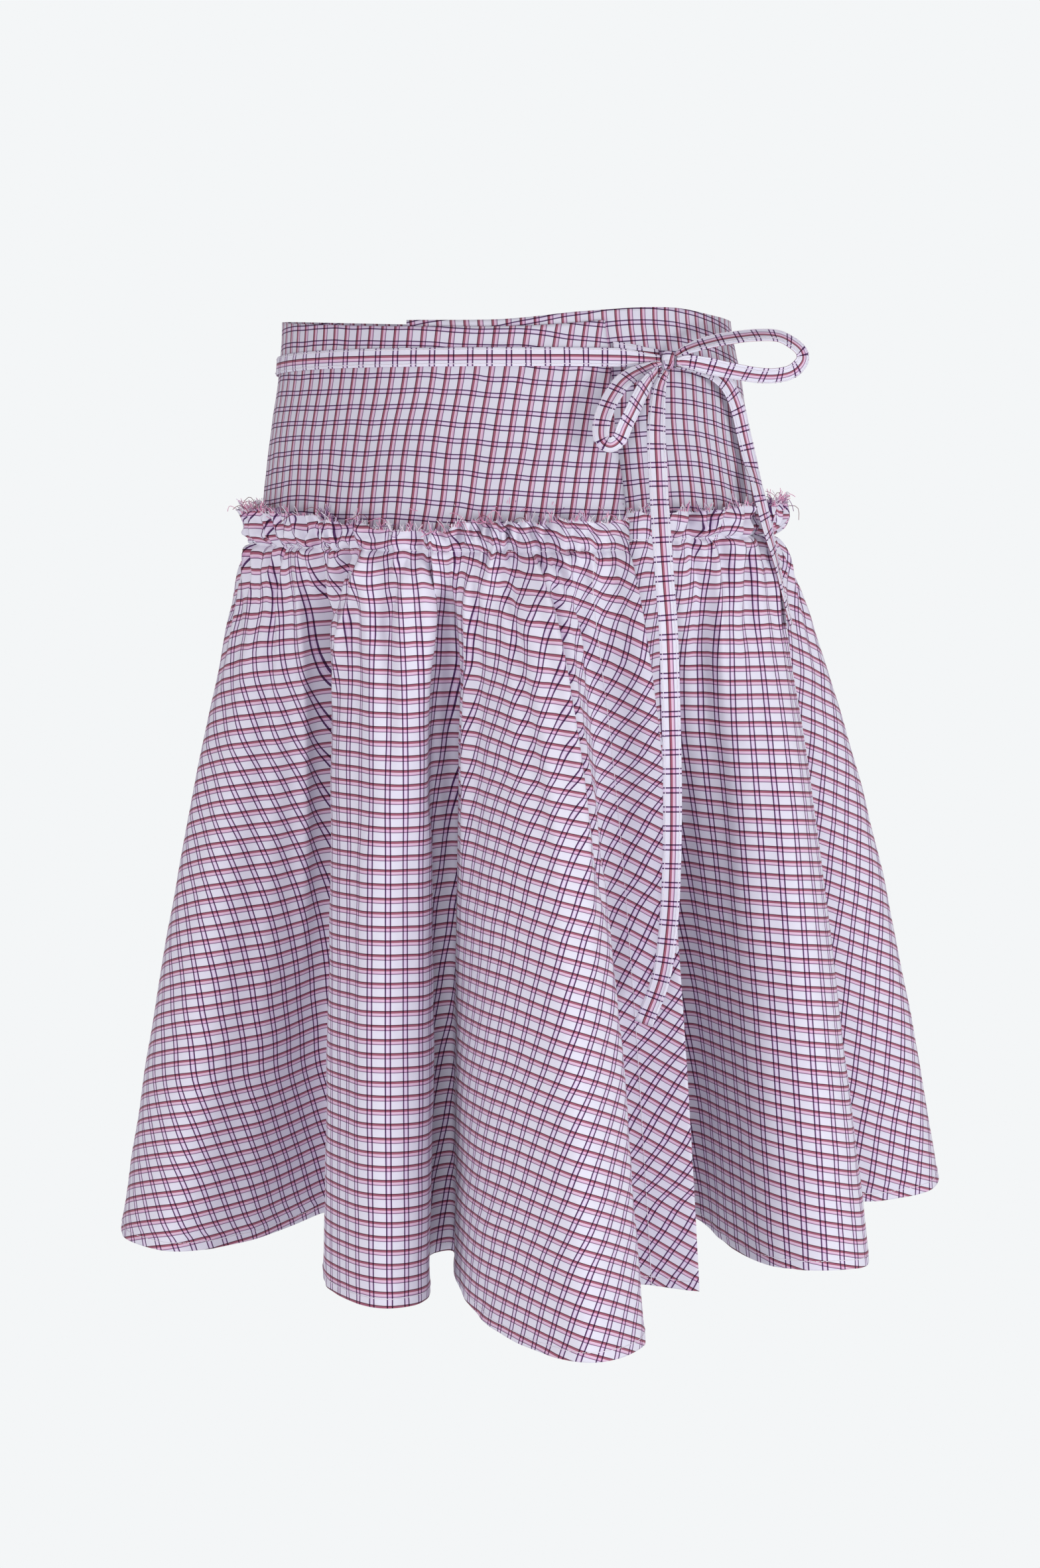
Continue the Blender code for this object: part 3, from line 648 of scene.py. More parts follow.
TierPanel = namedtuple("TierPanel", "name start end waves flat uneven columns level seed")
TIER_PANELS = (
    TierPanel("tier_under_front", UNDER_EDGE, RIGHT_SEAM, 20, 0.0, 0.4, 260, 0.60, 31),
    TierPanel("tier_back", RIGHT_SEAM, LEFT_SEAM, 26, 0.0, 1.7, 300, 0.50, 32),
    TierPanel("tier_over_front", LEFT_SEAM, WRAP_EDGE, 25, 1.6, 2.9, 320, 0.53, 33),
)
# The numbers of some rows of a tier's grid, and their lengths of cloth below the seam. The rest lie between.
SEAM_ROW = 20
TIER_ROWS = (
    (0, -0.0185),
    (SEAM_ROW, 0),
    (52, 0.04),
    (84, 0.12),
    (136, TIER_LENGTH - 0.012),
    (146, TIER_LENGTH),
)

# How the stripes slant down to the right against the hem, at shares of a panel's width and lengths of cloth
SLANT_CLOTHS = (0.0, 0.08, 0.25, 0.42)
Slant = namedtuple("Slant", "share seam upper middle low")
SLANTS = {
    "tier_under_front": table_of(
        Slant,
        (0, -0.2, -0.32, -0.38, -0.38),
        (0.2, -0.12, -0.2, -0.26, -0.28),
        (0.4, -0.04, -0.08, -0.14, -0.18),
        (0.47, -0.02, -0.04, -0.1, -0.14),
        (0.54, 0, 0, 0.02, 0.1),
        (0.6, 0.01, 0.03, 0.08, 0.24),
        (0.66, 0.03, 0.06, 0.09, 0.17),
        (0.72, 0.06, 0.1, 0.12, 0.1),
        (0.8, 0.14, 0.24, 0.28, 0.28),
        (0.88, 0.22, 0.33, 0.42, 0.45),
        (1, 0.24, 0.36, 0.44, 0.45),
    ),
    "tier_back": table_of(
        Slant,
        (0, -0.24, -0.32, -0.38, -0.4),
        (0.5, 0, 0, 0, 0),
        (1, 0.2, 0.26, 0.3, 0.32),
    ),
    "tier_over_front": table_of(
        Slant,
        (0, -0.2, -0.34, -0.38, -0.38),
        (0.13, -0.14, -0.3, -0.34, -0.32),
        (0.18, -0.08, -0.2, -0.22, -0.2),
        (0.23, -0.03, -0.13, -0.11, -0.09),
        (0.33, -0.04, -0.18, -0.13, -0.08),
        (0.44, 0, -0.04, -0.06, -0.06),
        (0.5, 0.02, 0.06, -0.02, 0),
        (0.56, 0, -0.08, 0.03, 0.03),
        (0.64, 0.1, 0.1, 0, -0.04),
        (0.71, 0.18, 0.06, -0.13, -0.12),
        (0.74, 0.2, 0.12, -0.04, -0.06),
        (0.77, 0.24, 0.26, 0.14, 0.1),
        (0.82, 0.1, 0.14, 0.34, 0.38),
        (0.86, 0.16, 0.3, 0.44, 0.49),
        (0.95, 0.28, 0.43, 0.5, 0.49),
        (1, 0.28, 0.43, 0.48, 0.46),
    ),
}

# Creases that show in the cloth. Each runs between two shares of a panel's width and two lengths of cloth, as
# wide as said to each side, and stands out by its height, or sinks in where that is below 0.
Crease = namedtuple("Crease", "from_share to_share top low width height")
CREASES = {
    "tier_under_front": table_of(
        Crease,
        (0.4, 0.41, 0, 0.4, 0.01, -0.0055),
        (0.474, 0.48, 0.002, 0.17, 0.0058, -0.0075),
        (0.525, 0.545, 0.001, 0.13, 0.0055, 0.0034),
        (0.603, 0.588, 0.002, 0.085, 0.0055, -0.0035),
        (0.655, 0.67, 0.002, 0.06, 0.0044, 0.0029),
        (0.735, 0.755, 0.001, 0.07, 0.0046, -0.0043),
        (0.5, 0.51, 0.12, 0.33, 0.012, -0.002),
        (0.62, 0.64, 0.15, 0.42, 0.016, 0.0018),
    ),
    "tier_back": table_of(
        Crease,
        (0.2, 0.19, 0.004, 0.24, 0.0062, -0.0078),
        (0.265, 0.278, 0.001, 0.09, 0.0052, 0.004),
        (0.33, 0.345, 0.004, 0.13, 0.0055, 0.0046),
        (0.405, 0.398, 0.002, 0.075, 0.0046, -0.0052),
        (0.48, 0.47, 0.004, 0.29, 0.0066, -0.009),
        (0.56, 0.575, 0.001, 0.11, 0.0052, -0.005),
        (0.632, 0.625, 0.002, 0.16, 0.0055, 0.0046),
        (0.7, 0.69, 0.004, 0.26, 0.0062, -0.0078),
        (0.82, 0.835, 0.002, 0.13, 0.0052, 0.0044),
    ),
    "tier_over_front": table_of(
        Crease,
        (0.09, 0.1, 0.003, 0.06, 0.005, -0.0023),
        (0.17, 0.19, 0.002, 0.05, 0.0044, -0.0023),
        (0.24, 0.235, 0.004, 0.075, 0.0055, -0.0026),
        (0.306, 0.303, 0.006, 0.33, 0.0058, 0.0058),
        (0.345, 0.355, 0.02, 0.2, 0.0077, -0.0023),
        (0.35, 0.356, 0.004, 0.42, 0.0085, -0.028),
        (0.478, 0.366, 0, 0.062, 0.0062, -0.011),
        (0.502, 0.408, 0.001, 0.12, 0.005, 0.0055),
        (0.546, 0.508, 0, 0.066, 0.0042, -0.0056),
        (0.56, 0.57, 0.001, 0.11, 0.0055, 0.0036),
        (0.522, 0.524, 0.036, 0.175, 0.0066, -0.0041),
        (0.65, 0.662, 0, 0.32, 0.006, -0.0105),
        (0.712, 0.694, 0.004, 0.26, 0.0062, 0.0052),
        (0.735, 0.722, 0, 0.04, 0.0035, -0.0034),
        (0.777, 0.787, 0, 0.07, 0.0044, -0.007),
        (0.78, 0.797, 0.036, 0.23, 0.0068, -0.0042),
        (0.838, 0.834, 0, 0.28, 0.0052, 0.0085),
        (0.862, 0.862, 0.003, 0.26, 0.0055, -0.012),
        (0.88, 0.95, 0, 0.11, 0.0046, -0.0042),
        (0.543, 0.54, 0.15, 0.52, 0.02, -0.004),
        (0.497, 0.492, 0.15, 0.52, 0.011, 0.0024),
        (0.588, 0.584, 0.15, 0.52, 0.011, 0.0024),
    ),
}
PUCKERS_APART = 0.0050
PUCKER_LENGTHS = (0.010, 0.085)
PUCKER_WIDTHS = (0.0013, 0.0027)
PUCKER_DEPTHS = (0.0026, 0.0066)
PUCKERS_OUT_SHARE = 0.3
MOST_PUCKER_LEAN = 0.22
PUCKERS_FADE_ABOVE = 0.006
TIER_FINE = Unevenness(0.0005, 3, 0.022, 0.030)
FINE_GROWS_OVER = 0.03
TIER_SOFT = Unevenness(0.0010, 4, 0.070, 0.110)
SOFT_GROWS_OVER = 0.06
HEM_WAVER = Unevenness(0.0007, 5, 0.011, 0.020)
WAVERS_NEAR_HEM = 0.016
WAVER_GROWS_OVER = 0.010
PULL = 0.0023
PULL_FADES = 0.038
SEAM_LIMIT = 0.0007
SEAM_PUFF = 0.0052
PUFF_GROWS_OVER = 0.0017
PUFF_ENDS = 0.09
HEADING_CRUMPLE = 0.0040
HEADING_RUFFLE = 0.0020
HEADING_LOOSENS_OVER = 0.007
# How high the heading stands along each panel: a share of the panel's width, and a share of the cut height.
HEADING_SHARES = {
    "tier_under_front": ((0.0, 1.0), (0.50, 0.90), (0.72, 1.15), (1.0, 1.05)),
    "tier_back": ((0.0, 1.05), (0.30, 0.85), (0.60, 1.10), (1.0, 1.10)),
    "tier_over_front": ((0.0, 1.10), (0.36, 1.15), (0.48, 0.82), (0.63, 0.66), (0.70, 1.00), (1.0, 1.00)),
}
PAIR_SQUEEZE = (1.38, 1.32, 1.20, 1.08, 1.03, 1.00)
PAIR_SQUEEZE_CLOTHS = (0.0, 0.030, 0.070, 0.130, 0.220, 0.350)
GATHERED_TO = (0.02, 0.10)
CREASES_TAKE_CLOTH = (0.04, 0.34)
Sheet = namedtuple("Sheet", "points normals cut cloth along")


def stripe_slant(slants, share, cloth):
    """The slant of the bold stripes over a panel."""
    levels = [table_value(slants, "share", share[:, 0], level) for level in Slant._fields[1:]]
    return np.array([np.interp(cloth[0], SLANT_CLOTHS, column) for column in zip(*levels)])


def creases_in(creases, share, cloth, along):
    """How far the placed creases move the cloth out."""
    moved = np.zeros_like(along)
    for crease in creases:
        part = (cloth - crease.top) / (crease.low - crease.top)
        line_share = crease.from_share + (crease.to_share - crease.from_share) * np.clip(part[0], 0.0, 1.0)
        line = np.array([np.interp(at, share[:, 0], along[:, row]) for row, at in enumerate(line_share)])
        width = crease.width * (0.6 + 0.7 * np.clip(part, 0.0, 1.0))
        fade = ease(part / 0.12) * ease((1.0 - part) / 0.6)
        moved += crease.height * fade * np.exp(-(((along - line) / width) ** 2))
    return moved


def puckers_in(seed, share, cloth, along):
    """How far the small uneven puckers of the gathers move the cloth out."""
    chance = np.random.default_rng(seed)
    count = int(along[-1, SEAM_ROW] / PUCKERS_APART)
    moved = np.zeros_like(along)
    places = np.sort(chance.uniform(0.0, 1.0, count) + 0.012 * chance.standard_normal(count))
    for place in places:
        length = chance.uniform(*PUCKER_LENGTHS) * chance.uniform(0.4, 1.0)
        width = chance.uniform(*PUCKER_WIDTHS)
        depth = chance.uniform(*PUCKER_DEPTHS) * (1.0 if chance.uniform() < PUCKERS_OUT_SHARE else -1.0)
        lean = chance.uniform(-MOST_PUCKER_LEAN, MOST_PUCKER_LEAN)
        line = np.array([np.interp(place, share[:, 0], column) for column in along.T])
        part = np.clip(cloth / length, 0.0, 1.0)
        fade = np.where(cloth < 0.0, np.exp(cloth / PUCKERS_FADE_ABOVE), (1.0 - part) ** 1.3)
        spread = width * (1.0 + 1.6 * part)
        moved += depth * fade * np.exp(-(((along - line - lean * np.maximum(cloth, 0.0)) / spread) ** 2))
    return moved


def wave_place(panel, wave):
    """The place along the tier of a gather of a panel, counted from its start. Their pitch is uneven."""
    first = place_at(panel.start) + TIER_TRIM
    last = place_at(panel.end) - TIER_TRIM
    part = wave / panel.waves
    change = PITCH_CHANGE * np.sin(2.0 * math.pi * PITCH_CHANGES * part + panel.uneven)
    part = part + change * ease(10.0 * part) * ease(10.0 * (1.0 - part))
    return first + (last - first) * part


def torn_cloth(panel, waves):
    """Each point's length of cloth below the seam, and less than 0 above it, up to the torn edge."""
    row_ends, cloth_ends = zip(*TIER_ROWS)
    cloth = np.interp(np.arange(row_ends[-1] + 1), row_ends, cloth_ends)[None, :]
    shares, heights = zip(*HEADING_SHARES[panel.name])
    torn = np.interp(waves / panel.waves, shares, heights) + 0.10 * soft_noise(panel.seed, waves * 1.3, 0.5)
    torn = torn + 0.09 * soft_noise(panel.seed + 1, waves * 4.0, 0.5)
    return np.where(cloth < 0.0, cloth * torn, cloth)


def wrinkles_in(panel, waves, cloth, along):
    """How far everything but the gathers and the placed creases moves a panel's cloth out."""

    def noise(seed_step, often, down):
        """Soft noise that follows the gathers."""
        return soft_noise(panel.seed + seed_step, waves * often, cloth / down)

    wrinkled = puckers_in(panel.seed + 2, waves / panel.waves, cloth, along)
    wrinkled = wrinkled + uneven(TIER_FINE, panel.seed, along, cloth) * ease(cloth / FINE_GROWS_OVER)
    wrinkled = wrinkled + uneven(TIER_SOFT, panel.seed, along, cloth) * ease(cloth / SOFT_GROWS_OVER)
    hem_near = ease((cloth - TIER_LENGTH + WAVERS_NEAR_HEM) / WAVER_GROWS_OVER)
    wrinkled = wrinkled + uneven(HEM_WAVER, panel.seed, along, cloth) * hem_near
    crumple = noise(6, 2.3, 0.012) + 0.7 * noise(7, 4.5, 0.006)
    ruffled = np.sin(10.0 * waves + 2.5 * soft_noise(panel.seed + 12, waves * 0.7, 0.5))
    loose = ease(-cloth / HEADING_LOOSENS_OVER)
    wrinkled = wrinkled + (HEADING_CRUMPLE * crumple + HEADING_RUFFLE * ruffled) * loose
    puffed = (1.0 + 0.5 * noise(8, 1.1, 0.02)) * (1.0 - np.exp(-np.abs(cloth) / PUFF_GROWS_OVER))
    return wrinkled + SEAM_PUFF * puffed * ease(1.0 - cloth / PUFF_ENDS)


def cut_places(panel, waves, cloth, along, plain, creased):
    """The points' places on the cut cloth, from the lengths across without and with the placed creases."""
    slant = stripe_slant(SLANTS[panel.name], waves / panel.waves, cloth)
    between = 0.5 * (slant[1:] + slant[:-1])
    plain_steps = np.diff(plain, axis=0)
    crease_steps = np.diff(creased, axis=0) - plain_steps
    true_steps = plain_steps + crease_steps * grown(cloth[1:], CREASES_TAKE_CLOTH)
    base_steps = np.diff(along, axis=0)
    start = np.zeros_like(along[:1])
    squeeze = np.interp(cloth[0], PAIR_SQUEEZE_CLOTHS, PAIR_SQUEEZE)
    below_gathers = grown(cloth[1:], GATHERED_TO)
    steps = base_steps * (1.0 - below_gathers) * squeeze + true_steps * below_gathers * (0.5 + 0.5 * squeeze)
    across = np.cumsum(np.concatenate((start, np.cos(between) * steps), axis=0), axis=0)
    rise = np.cumsum(np.concatenate((start, np.sin(between) * base_steps), axis=0), axis=0)
    level = int(round(panel.level * panel.columns))

    def pull(seed_step, often, down):
        """How far the gathers pull the cloth aside or up."""
        fade = PULL * np.exp(-np.abs(cloth) / PULL_FADES)
        return fade * soft_noise(panel.seed + seed_step, waves * often, cloth / down)

    aside = pull(9, 1.6, 0.024)
    upward = pull(10, 1.5, 0.030) + 0.6 * pull(11, 3.4, 0.018)
    return np.stack((across - across[level] + aside, cloth - rise + rise[level] + upward), axis=-1)


def tier_sheet(panel):
    """The cloth of a tier panel: its points, its outward normals, and its places on the cut cloth."""
    waves = np.linspace(0.0, panel.waves, panel.columns + 1)[:, None]
    place = wave_place(panel, waves)
    cloth = torn_cloth(panel, waves)
    base, facing = tier_frame(place, cloth)
    along = lengths_along(base, 0)
    fullness = 0.62 + 0.24 * np.sin(1.9 * waves + panel.uneven) + 0.16 * np.sin(4.3 * waves)
    height = gather_height(wave_place(panel, waves - 0.5), place, wave_place(panel, waves + 0.5), cloth)
    crest = 0.5 - 0.5 * np.cos(2.0 * math.pi * waves)
    merged = 0.5 - 0.5 * np.cos(math.pi * waves)
    closed, lean, inward = (table_value(GATHERS, "cloth", cloth, column) for column in Gather._fields[2:])
    ends = ease(waves) * ease(panel.waves - panel.flat - waves)
    gathered = height * fullness * ends * (crest * (1.0 - closed) + merged * closed - inward)
    free = 1.0 - 0.85 * under_cover(fold_value(place, "spiral"))
    ends_lie = 0.25 + 0.75 * ease(waves) * ease(panel.waves - waves)
    limit = SEAM_LIMIT + lean * (cloth < 0.0) + 0.6 * np.maximum(cloth, 0.0)

    def pushed_out(wrinkles):
        """The gathered cloth with its wrinkles, kept off what lies beneath it."""
        moved = gathered + np.where(wrinkles > 0.0, free, 1.0) * wrinkles * ends_lie
        return base + facing * np.maximum(moved, -limit)[..., None]

    wrinkles = wrinkles_in(panel, waves, cloth, along)
    creases = creases_in(CREASES[panel.name], waves / panel.waves, cloth, along)
    points = pushed_out(wrinkles + creases)
    creased = lengths_along(points, 0)
    plain = lengths_along(pushed_out(wrinkles), 0)
    cut = cut_places(panel, waves, cloth, along, plain, creased)
    return Sheet(points, outward_normals(points), cut, cloth, creased)


def cut_size(cut):
    """The width, the depth and the area of a piece of cut cloth."""
    across = cut[1:, :-1] - cut[:-1, :-1]
    down = cut[:-1, 1:] - cut[:-1, :-1]
    area = np.abs(across[..., 0] * down[..., 1] - across[..., 1] * down[..., 0]).sum()
    return float(np.ptp(cut[..., 0])), float(np.ptp(cut[..., 1])), float(area)


tier_cotton = checked_cotton("tier_cotton")
tier_sheets = {}
for panel in TIER_PANELS:
    sheet = tier_sheet(panel)
    tier_sheets[panel.name] = sheet
    tier = cloth_piece(panel.name + "_cloth", sheet.points, sheet.cut, tier_cotton, panel.name)
    cut_width, cut_depth, cut_area = cut_size(sheet.cut)

# Ties. Narrow flat tubes of the same cotton, turned and topstitched near both edges. The long tie lies across
# the front, the short one comes from under it, and the two make a bow whose ends hang free.
TIE_WIDTH = 0.0117
TIE_THICKNESS = 0.0014
TIE_GAP = 0.0003
TIE_LIFT = 0.0024
TIE_LIFTS = (378.0, 386.0)
ON_CLOTH = WALL / 2.0 + TIE_GAP + TIE_THICKNESS / 2.0
PINCHED_OVER = 12.0
TIE_STRIPES_FROM = 0.00675
TIE_AROUND = 28
LEAST_THICK_WIDTH = 0.006
END_CLOSES_OVER = 0.0025
TIE_STITCH_INSET = 0.0014
TIE_RIPPLE = Unevenness(0.00022, 0, 0.006, 0.011)
TIE_FOLDS = Unevenness(0.0004, 1, 1.0, 0.023)
SMOOTH_WHERE_PINCHED = 0.001
UPWARD_STEP = 0.005
TIE_WAIST = table_of(
    Height,
    (261, -0.0305),
    (275, -0.029),
    (300, -0.0262),
    (330, -0.0246),
    (360, -0.0242),
    (384, -0.0244),
    (390, -0.0248),
    (398.4, -0.0258),
)
TIE_SHORT = table_of(
    Height,
    (26, -0.0205),
    (31, -0.0212),
    (39, -0.0228),
)
Bend = namedtuple("Bend", "at x y z face width", defaults=(TIE_WIDTH,))


def bends(*values):
    """The bends along a tie, each with its number, and as wide as the tie where no width is given."""
    return tuple(Bend(number, *row) for number, row in enumerate(values))


LOOP_RIGHT = bends(
    (0.1036, -0.085, -0.0235, 50, 0.005),
    (0.11, -0.086, -0.0195, 42, 0.0085),
    (0.1235, -0.085, -0.015, 40),
    (0.139, -0.082, -0.012, 40),
    (0.1547, -0.077, -0.0103, 40),
    (0.1675, -0.072, -0.0107, 40),
    (0.1765, -0.068, -0.0146, 42),
    (0.1828, -0.066, -0.02, 45),
    (0.1836, -0.066, -0.0262, 48),
    (0.1775, -0.068, -0.0325, 52),
    (0.1675, -0.072, -0.0352, 54),
    (0.1547, -0.078, -0.0351, 54),
    (0.139, -0.085, -0.0327, 56),
    (0.1235, -0.089, -0.0295, 60),
    (0.111, -0.0895, -0.0272, 60, 0.0095),
    (0.1036, -0.0885, -0.0268, 60, 0.005),
)
LOOP_LEFT = bends(
    (0.0936, -0.0893, -0.028, 70, 0.004),
    (0.0862, -0.096, -0.0305, 66, 0.008),
    (0.077, -0.105, -0.0345, 65, 0.011),
    (0.069, -0.112, -0.04, 65),
    (0.0625, -0.117, -0.049, 65),
    (0.058, -0.12, -0.059, 65),
    (0.0562, -0.122, -0.068, 63),
    (0.0572, -0.123, -0.075, 60, 0.011),
    (0.062, -0.124, -0.0778, 58, 0.0105),
    (0.0672, -0.124, -0.0742, 56, 0.011),
    (0.0705, -0.123, -0.0665, 54),
    (0.0752, -0.12, -0.0573, 54),
    (0.08, -0.115, -0.048, 56),
    (0.085, -0.108, -0.0395, 60, 0.0095),
    (0.0905, -0.0975, -0.0325, 64, 0.005),
)
TAIL_FRONT = bends(
    (0.0972, -0.0868, -0.033, 10, 0.005),
    (0.0925, -0.096, -0.045, 10, 0.009),
    (0.0905, -0.108, -0.07, 8),
    (0.0915, -0.118, -0.1, 6),
    (0.093, -0.129, -0.13, 4),
    (0.095, -0.134, -0.16, 4),
    (0.0974, -0.134, -0.19, 4),
    (0.0993, -0.133, -0.237, 2),
    (0.1007, -0.131, -0.285, 0),
    (0.1007, -0.13, -0.334, 0),
    (0.099, -0.129, -0.374, -2),
    (0.0945, -0.128, -0.408, -4),
    (0.084, -0.128, -0.437, -6),
)
TAIL_SIDE = bends(
    (0.1036, -0.0822, -0.0285, 40, 0.0045),
    (0.118, -0.0735, -0.03, 42, 0.009),
    (0.129, -0.064, -0.0335, 44),
    (0.1375, -0.057, -0.041, 40),
    (0.1441, -0.05, -0.0539, 37),
    (0.149, -0.048, -0.0722, 36),
    (0.1536, -0.05, -0.0902, 38),
    (0.1578, -0.06, -0.1086, 47),
    (0.1625, -0.06, -0.127, 55),
    (0.1675, -0.054, -0.144, 68),
    (0.1727, -0.05, -0.163, 78),
    (0.1808, -0.047, -0.1957, 82),
)
FRONTWARD = np.array((0.0, -1.0, 0.0))


def waist_layer(spiral, z):
    """The waist tie lies on the over front, and past its wrap edge on the short tie, a little further out."""
    return lap(np.minimum(spiral, WRAP_EDGE), z) + TIE_LIFT * grown(spiral, TIE_LIFTS)


def lay_tie(lays, layer, end_width):
    """The middles, faces, ways along and widths of a tie that lies flat on the yoke."""
    spiral = np.linspace(lays[0].spiral, lays[-1].spiral, 3 * int(lays[-1].spiral - lays[0].spiral) + 1)

    def centre(at):
        """The tie's middle at spiral angles."""
        z = table_value(lays, "spiral", at, "z")
        return ring_point(at, z, layer(at, z) + ON_CLOTH)

    middle = centre(spiral)
    along = unit(centre(spiral + 0.5) - centre(spiral - 0.5))
    height = middle[:, 2]
    up = ring_point(spiral, height + UPWARD_STEP, 0.0) - ring_point(spiral, height - UPWARD_STEP, 0.0)
    face = unit(np.cross(along, up))
    pinch = ease(1.0 - (lays[-1].spiral - spiral) / PINCHED_OVER)
    return middle, face, along, TIE_WIDTH + (end_width - TIE_WIDTH) * pinch


def ribbon(course, loop_way=0.0):
    """The middles, faces, ways along and widths of a free length of tie through its bends.

    A loop opens to the front, and its way is 1 or -1, as it runs clockwise or back. A hanging end has no way.
    """
    at = np.linspace(0.0, len(course) - 1.0, 12 * (len(course) - 1) + 1)

    def centre(place):
        """The tie's middle, at a number of bends from its start."""
        return np.stack([table_value(course, "at", place, column) for column in ("x", "y", "z")], axis=-1)

    along = unit(centre(at + 0.05) - centre(at - 0.05))
    turned = np.radians(table_value(course, "at", at, "face"))[:, None]
    level = np.zeros_like(turned)
    if loop_way:
        outward = unit(np.concatenate((-along[:, 2:], level, along[:, :1]), axis=-1)) * loop_way
        face = outward * np.cos(turned) + FRONTWARD * np.sin(turned)
    else:
        face = np.concatenate((np.sin(turned), -np.cos(turned), level), axis=-1)
    face = unit(face - along * np.sum(face * along, axis=-1, keepdims=True))
    return centre(at), face, along, table_value(course, "at", at, "width")


def flattened(wave, power):
    """A sine or cosine with fuller flanks, for a rounder corner the lower the power."""
    return np.sign(wave) * np.abs(wave) ** power


def tie_tube(course, seed, flipped, closed_end):
    """The points, the cut, the length and the two stitch lines of a flat sewn tube along a course."""
    middle, face, along, width = course
    across = np.cross(face, along)
    length = lengths_along(middle, 0)
    angle = (math.pi - 2.0 * math.pi * np.arange(TIE_AROUND + 1) / TIE_AROUND)[:, None]
    bunched = (TIE_WIDTH / np.maximum(width, LEAST_THICK_WIDTH)) ** 0.8
    half_thick = 0.5 * (TIE_THICKNESS - SHEET_THICKNESS) * bunched
    if closed_end:
        half_thick = half_thick * (0.15 + 0.85 * ease((length[-1] - length) / END_CLOSES_OVER))
    flat = flattened(np.cos(angle), 0.55) * 0.5 * (width - SHEET_THICKNESS)
    thick = flattened(np.sin(angle), 0.75) * half_thick
    pinched = TIE_WIDTH - width
    rippled = uneven(TIE_RIPPLE, seed, flat, length) + uneven(TIE_FOLDS, seed, 0.5, length)
    thick = thick + rippled * (pinched < SMOOTH_WHERE_PINCHED)
    points = middle + across * flat[..., None] + face * thick[..., None]
    around = lengths_along(points, 0)
    stripes = around + 0.5 * pinched
    if flipped:
        stripes = TIE_WIDTH - stripes
    cut = np.stack(np.broadcast_arrays(length, TIE_STRIPES_FROM + stripes), axis=-1)
    lines = []
    for side in (-0.5, 0.5):
        inset = side * (width - 2.0 * TIE_STITCH_INSET)
        lines.append((middle + across * inset[:, None] + face * (0.5 * TIE_THICKNESS), face))
    return points, cut, float(length[-1]), lines


tie_cotton = checked_cotton("tie_cotton")
tie_lines = []
TieCourse = namedtuple("TieCourse", "node course flipped closed_end held")
TIE_COURSES = (
    TieCourse("tie_waist", lay_tie(TIE_WAIST, waist_layer, 0.0060), True, False, "laid"),
    TieCourse("tie_short", lay_tie(TIE_SHORT, lap, 0.0070), True, False, "laid"),
    TieCourse("bow_loop_right", ribbon(LOOP_RIGHT, 1.0), False, False, "folded"),
    TieCourse("bow_loop_left", ribbon(LOOP_LEFT, -1.0), False, False, "folded"),
    TieCourse("tail_front", ribbon(TAIL_FRONT), False, True, "hung"),
    TieCourse("tail_side", ribbon(TAIL_SIDE), False, True, "hung"),
)
for number, tie in enumerate(TIE_COURSES):
    points, cut, length, lines = tie_tube(tie.course, 60 + 3 * number, tie.flipped, tie.closed_end)
    piece = cloth_piece(tie.node + "_cloth", points, cut, tie_cotton, tie.node)
    tie_lines.extend(lines)

# Knot. One turn of tie wraps the middle of the bow, pulled tight, with one slanting pleat. Its stripes run
# over the top, and it holds the ends of both loops and of both hanging ends.
KNOT_CENTRE = np.array((0.0985, -0.0850, -0.0262))
KNOT_HALF = (0.00425, 0.00475, 0.00575)
KNOT_AROUND = 40
KNOT_ROWS = 18
KNOT_STRIPES_FROM = 0.0016
KNOT_SWAYS = 0.0006
KNOT_STRIPES_SWAY = 0.0012


def knot_band():
    """The points and the cut of the knot's wrapped band, narrow at its sides and with one slanting pleat."""
    angle = (2.0 * math.pi * np.arange(KNOT_AROUND + 1) / KNOT_AROUND)[:, None]
    side = np.linspace(-1.0, 1.0, KNOT_ROWS + 1)[None, :]
    round_off = (1.0 - np.abs(side) ** 3.2 * 0.985) ** 0.45
    pleat = np.exp(-(((side + 0.35 + 0.3 * np.sin(angle)) / 0.16) ** 2))
    bulges = 0.05 * np.sin(2.0 * angle + 2.4 * side) + 0.02 * np.sin(5.0 * angle)
    reach = round_off * (1.0 + bulges - 0.06 * pleat)
    x = KNOT_CENTRE[0] + KNOT_HALF[0] * side + KNOT_SWAYS * np.sin(angle) * (1.0 - side**2)
    y = KNOT_CENTRE[1] - KNOT_HALF[1] * flattened(np.cos(angle), 0.8) * reach
    z = KNOT_CENTRE[2] + KNOT_HALF[2] * flattened(np.sin(angle), 0.8) * reach
    points = np.stack(np.broadcast_arrays(x, y, z), axis=-1)
    length = lengths_along(points, 0)
    stripes = KNOT_STRIPES_FROM + KNOT_HALF[0] * side - KNOT_STRIPES_SWAY * np.sin(angle)
    return points, np.stack(np.broadcast_arrays(length, stripes), axis=-1), float(length[-1].max())


points, cut, knot_round = knot_band()
knot = cloth_piece("bow_knot_cloth", points, cut, tie_cotton, "bow_knot")

# Frayed edge. The tier's raw top edge has shed its last weft yarns, so the ends of its warp stand free, in
# the colours that they have in the cloth, and a few loose yarns lie along it.
FRINGE_APART = 0.00062
FRINGE_LENGTHS = (0.0034, 0.0086)
FRINGE_RADIUS = 0.00020
FRINGE_SINKS = 0.0008
FRINGE_MEETS_ROW = 4
# Sines along the edge, in radians for a metre, that bunch its yarns into clumps and longer tufts
CLUMP_WAVE = 900.0
TUFT_WAVES = (310.0, 97.0)
LOOSE_YARNS = 42
LOOSE_LENGTHS = (0.005, 0.016)
LOOSE_RISE = 0.0015
LOOSE_CURL = 0.004
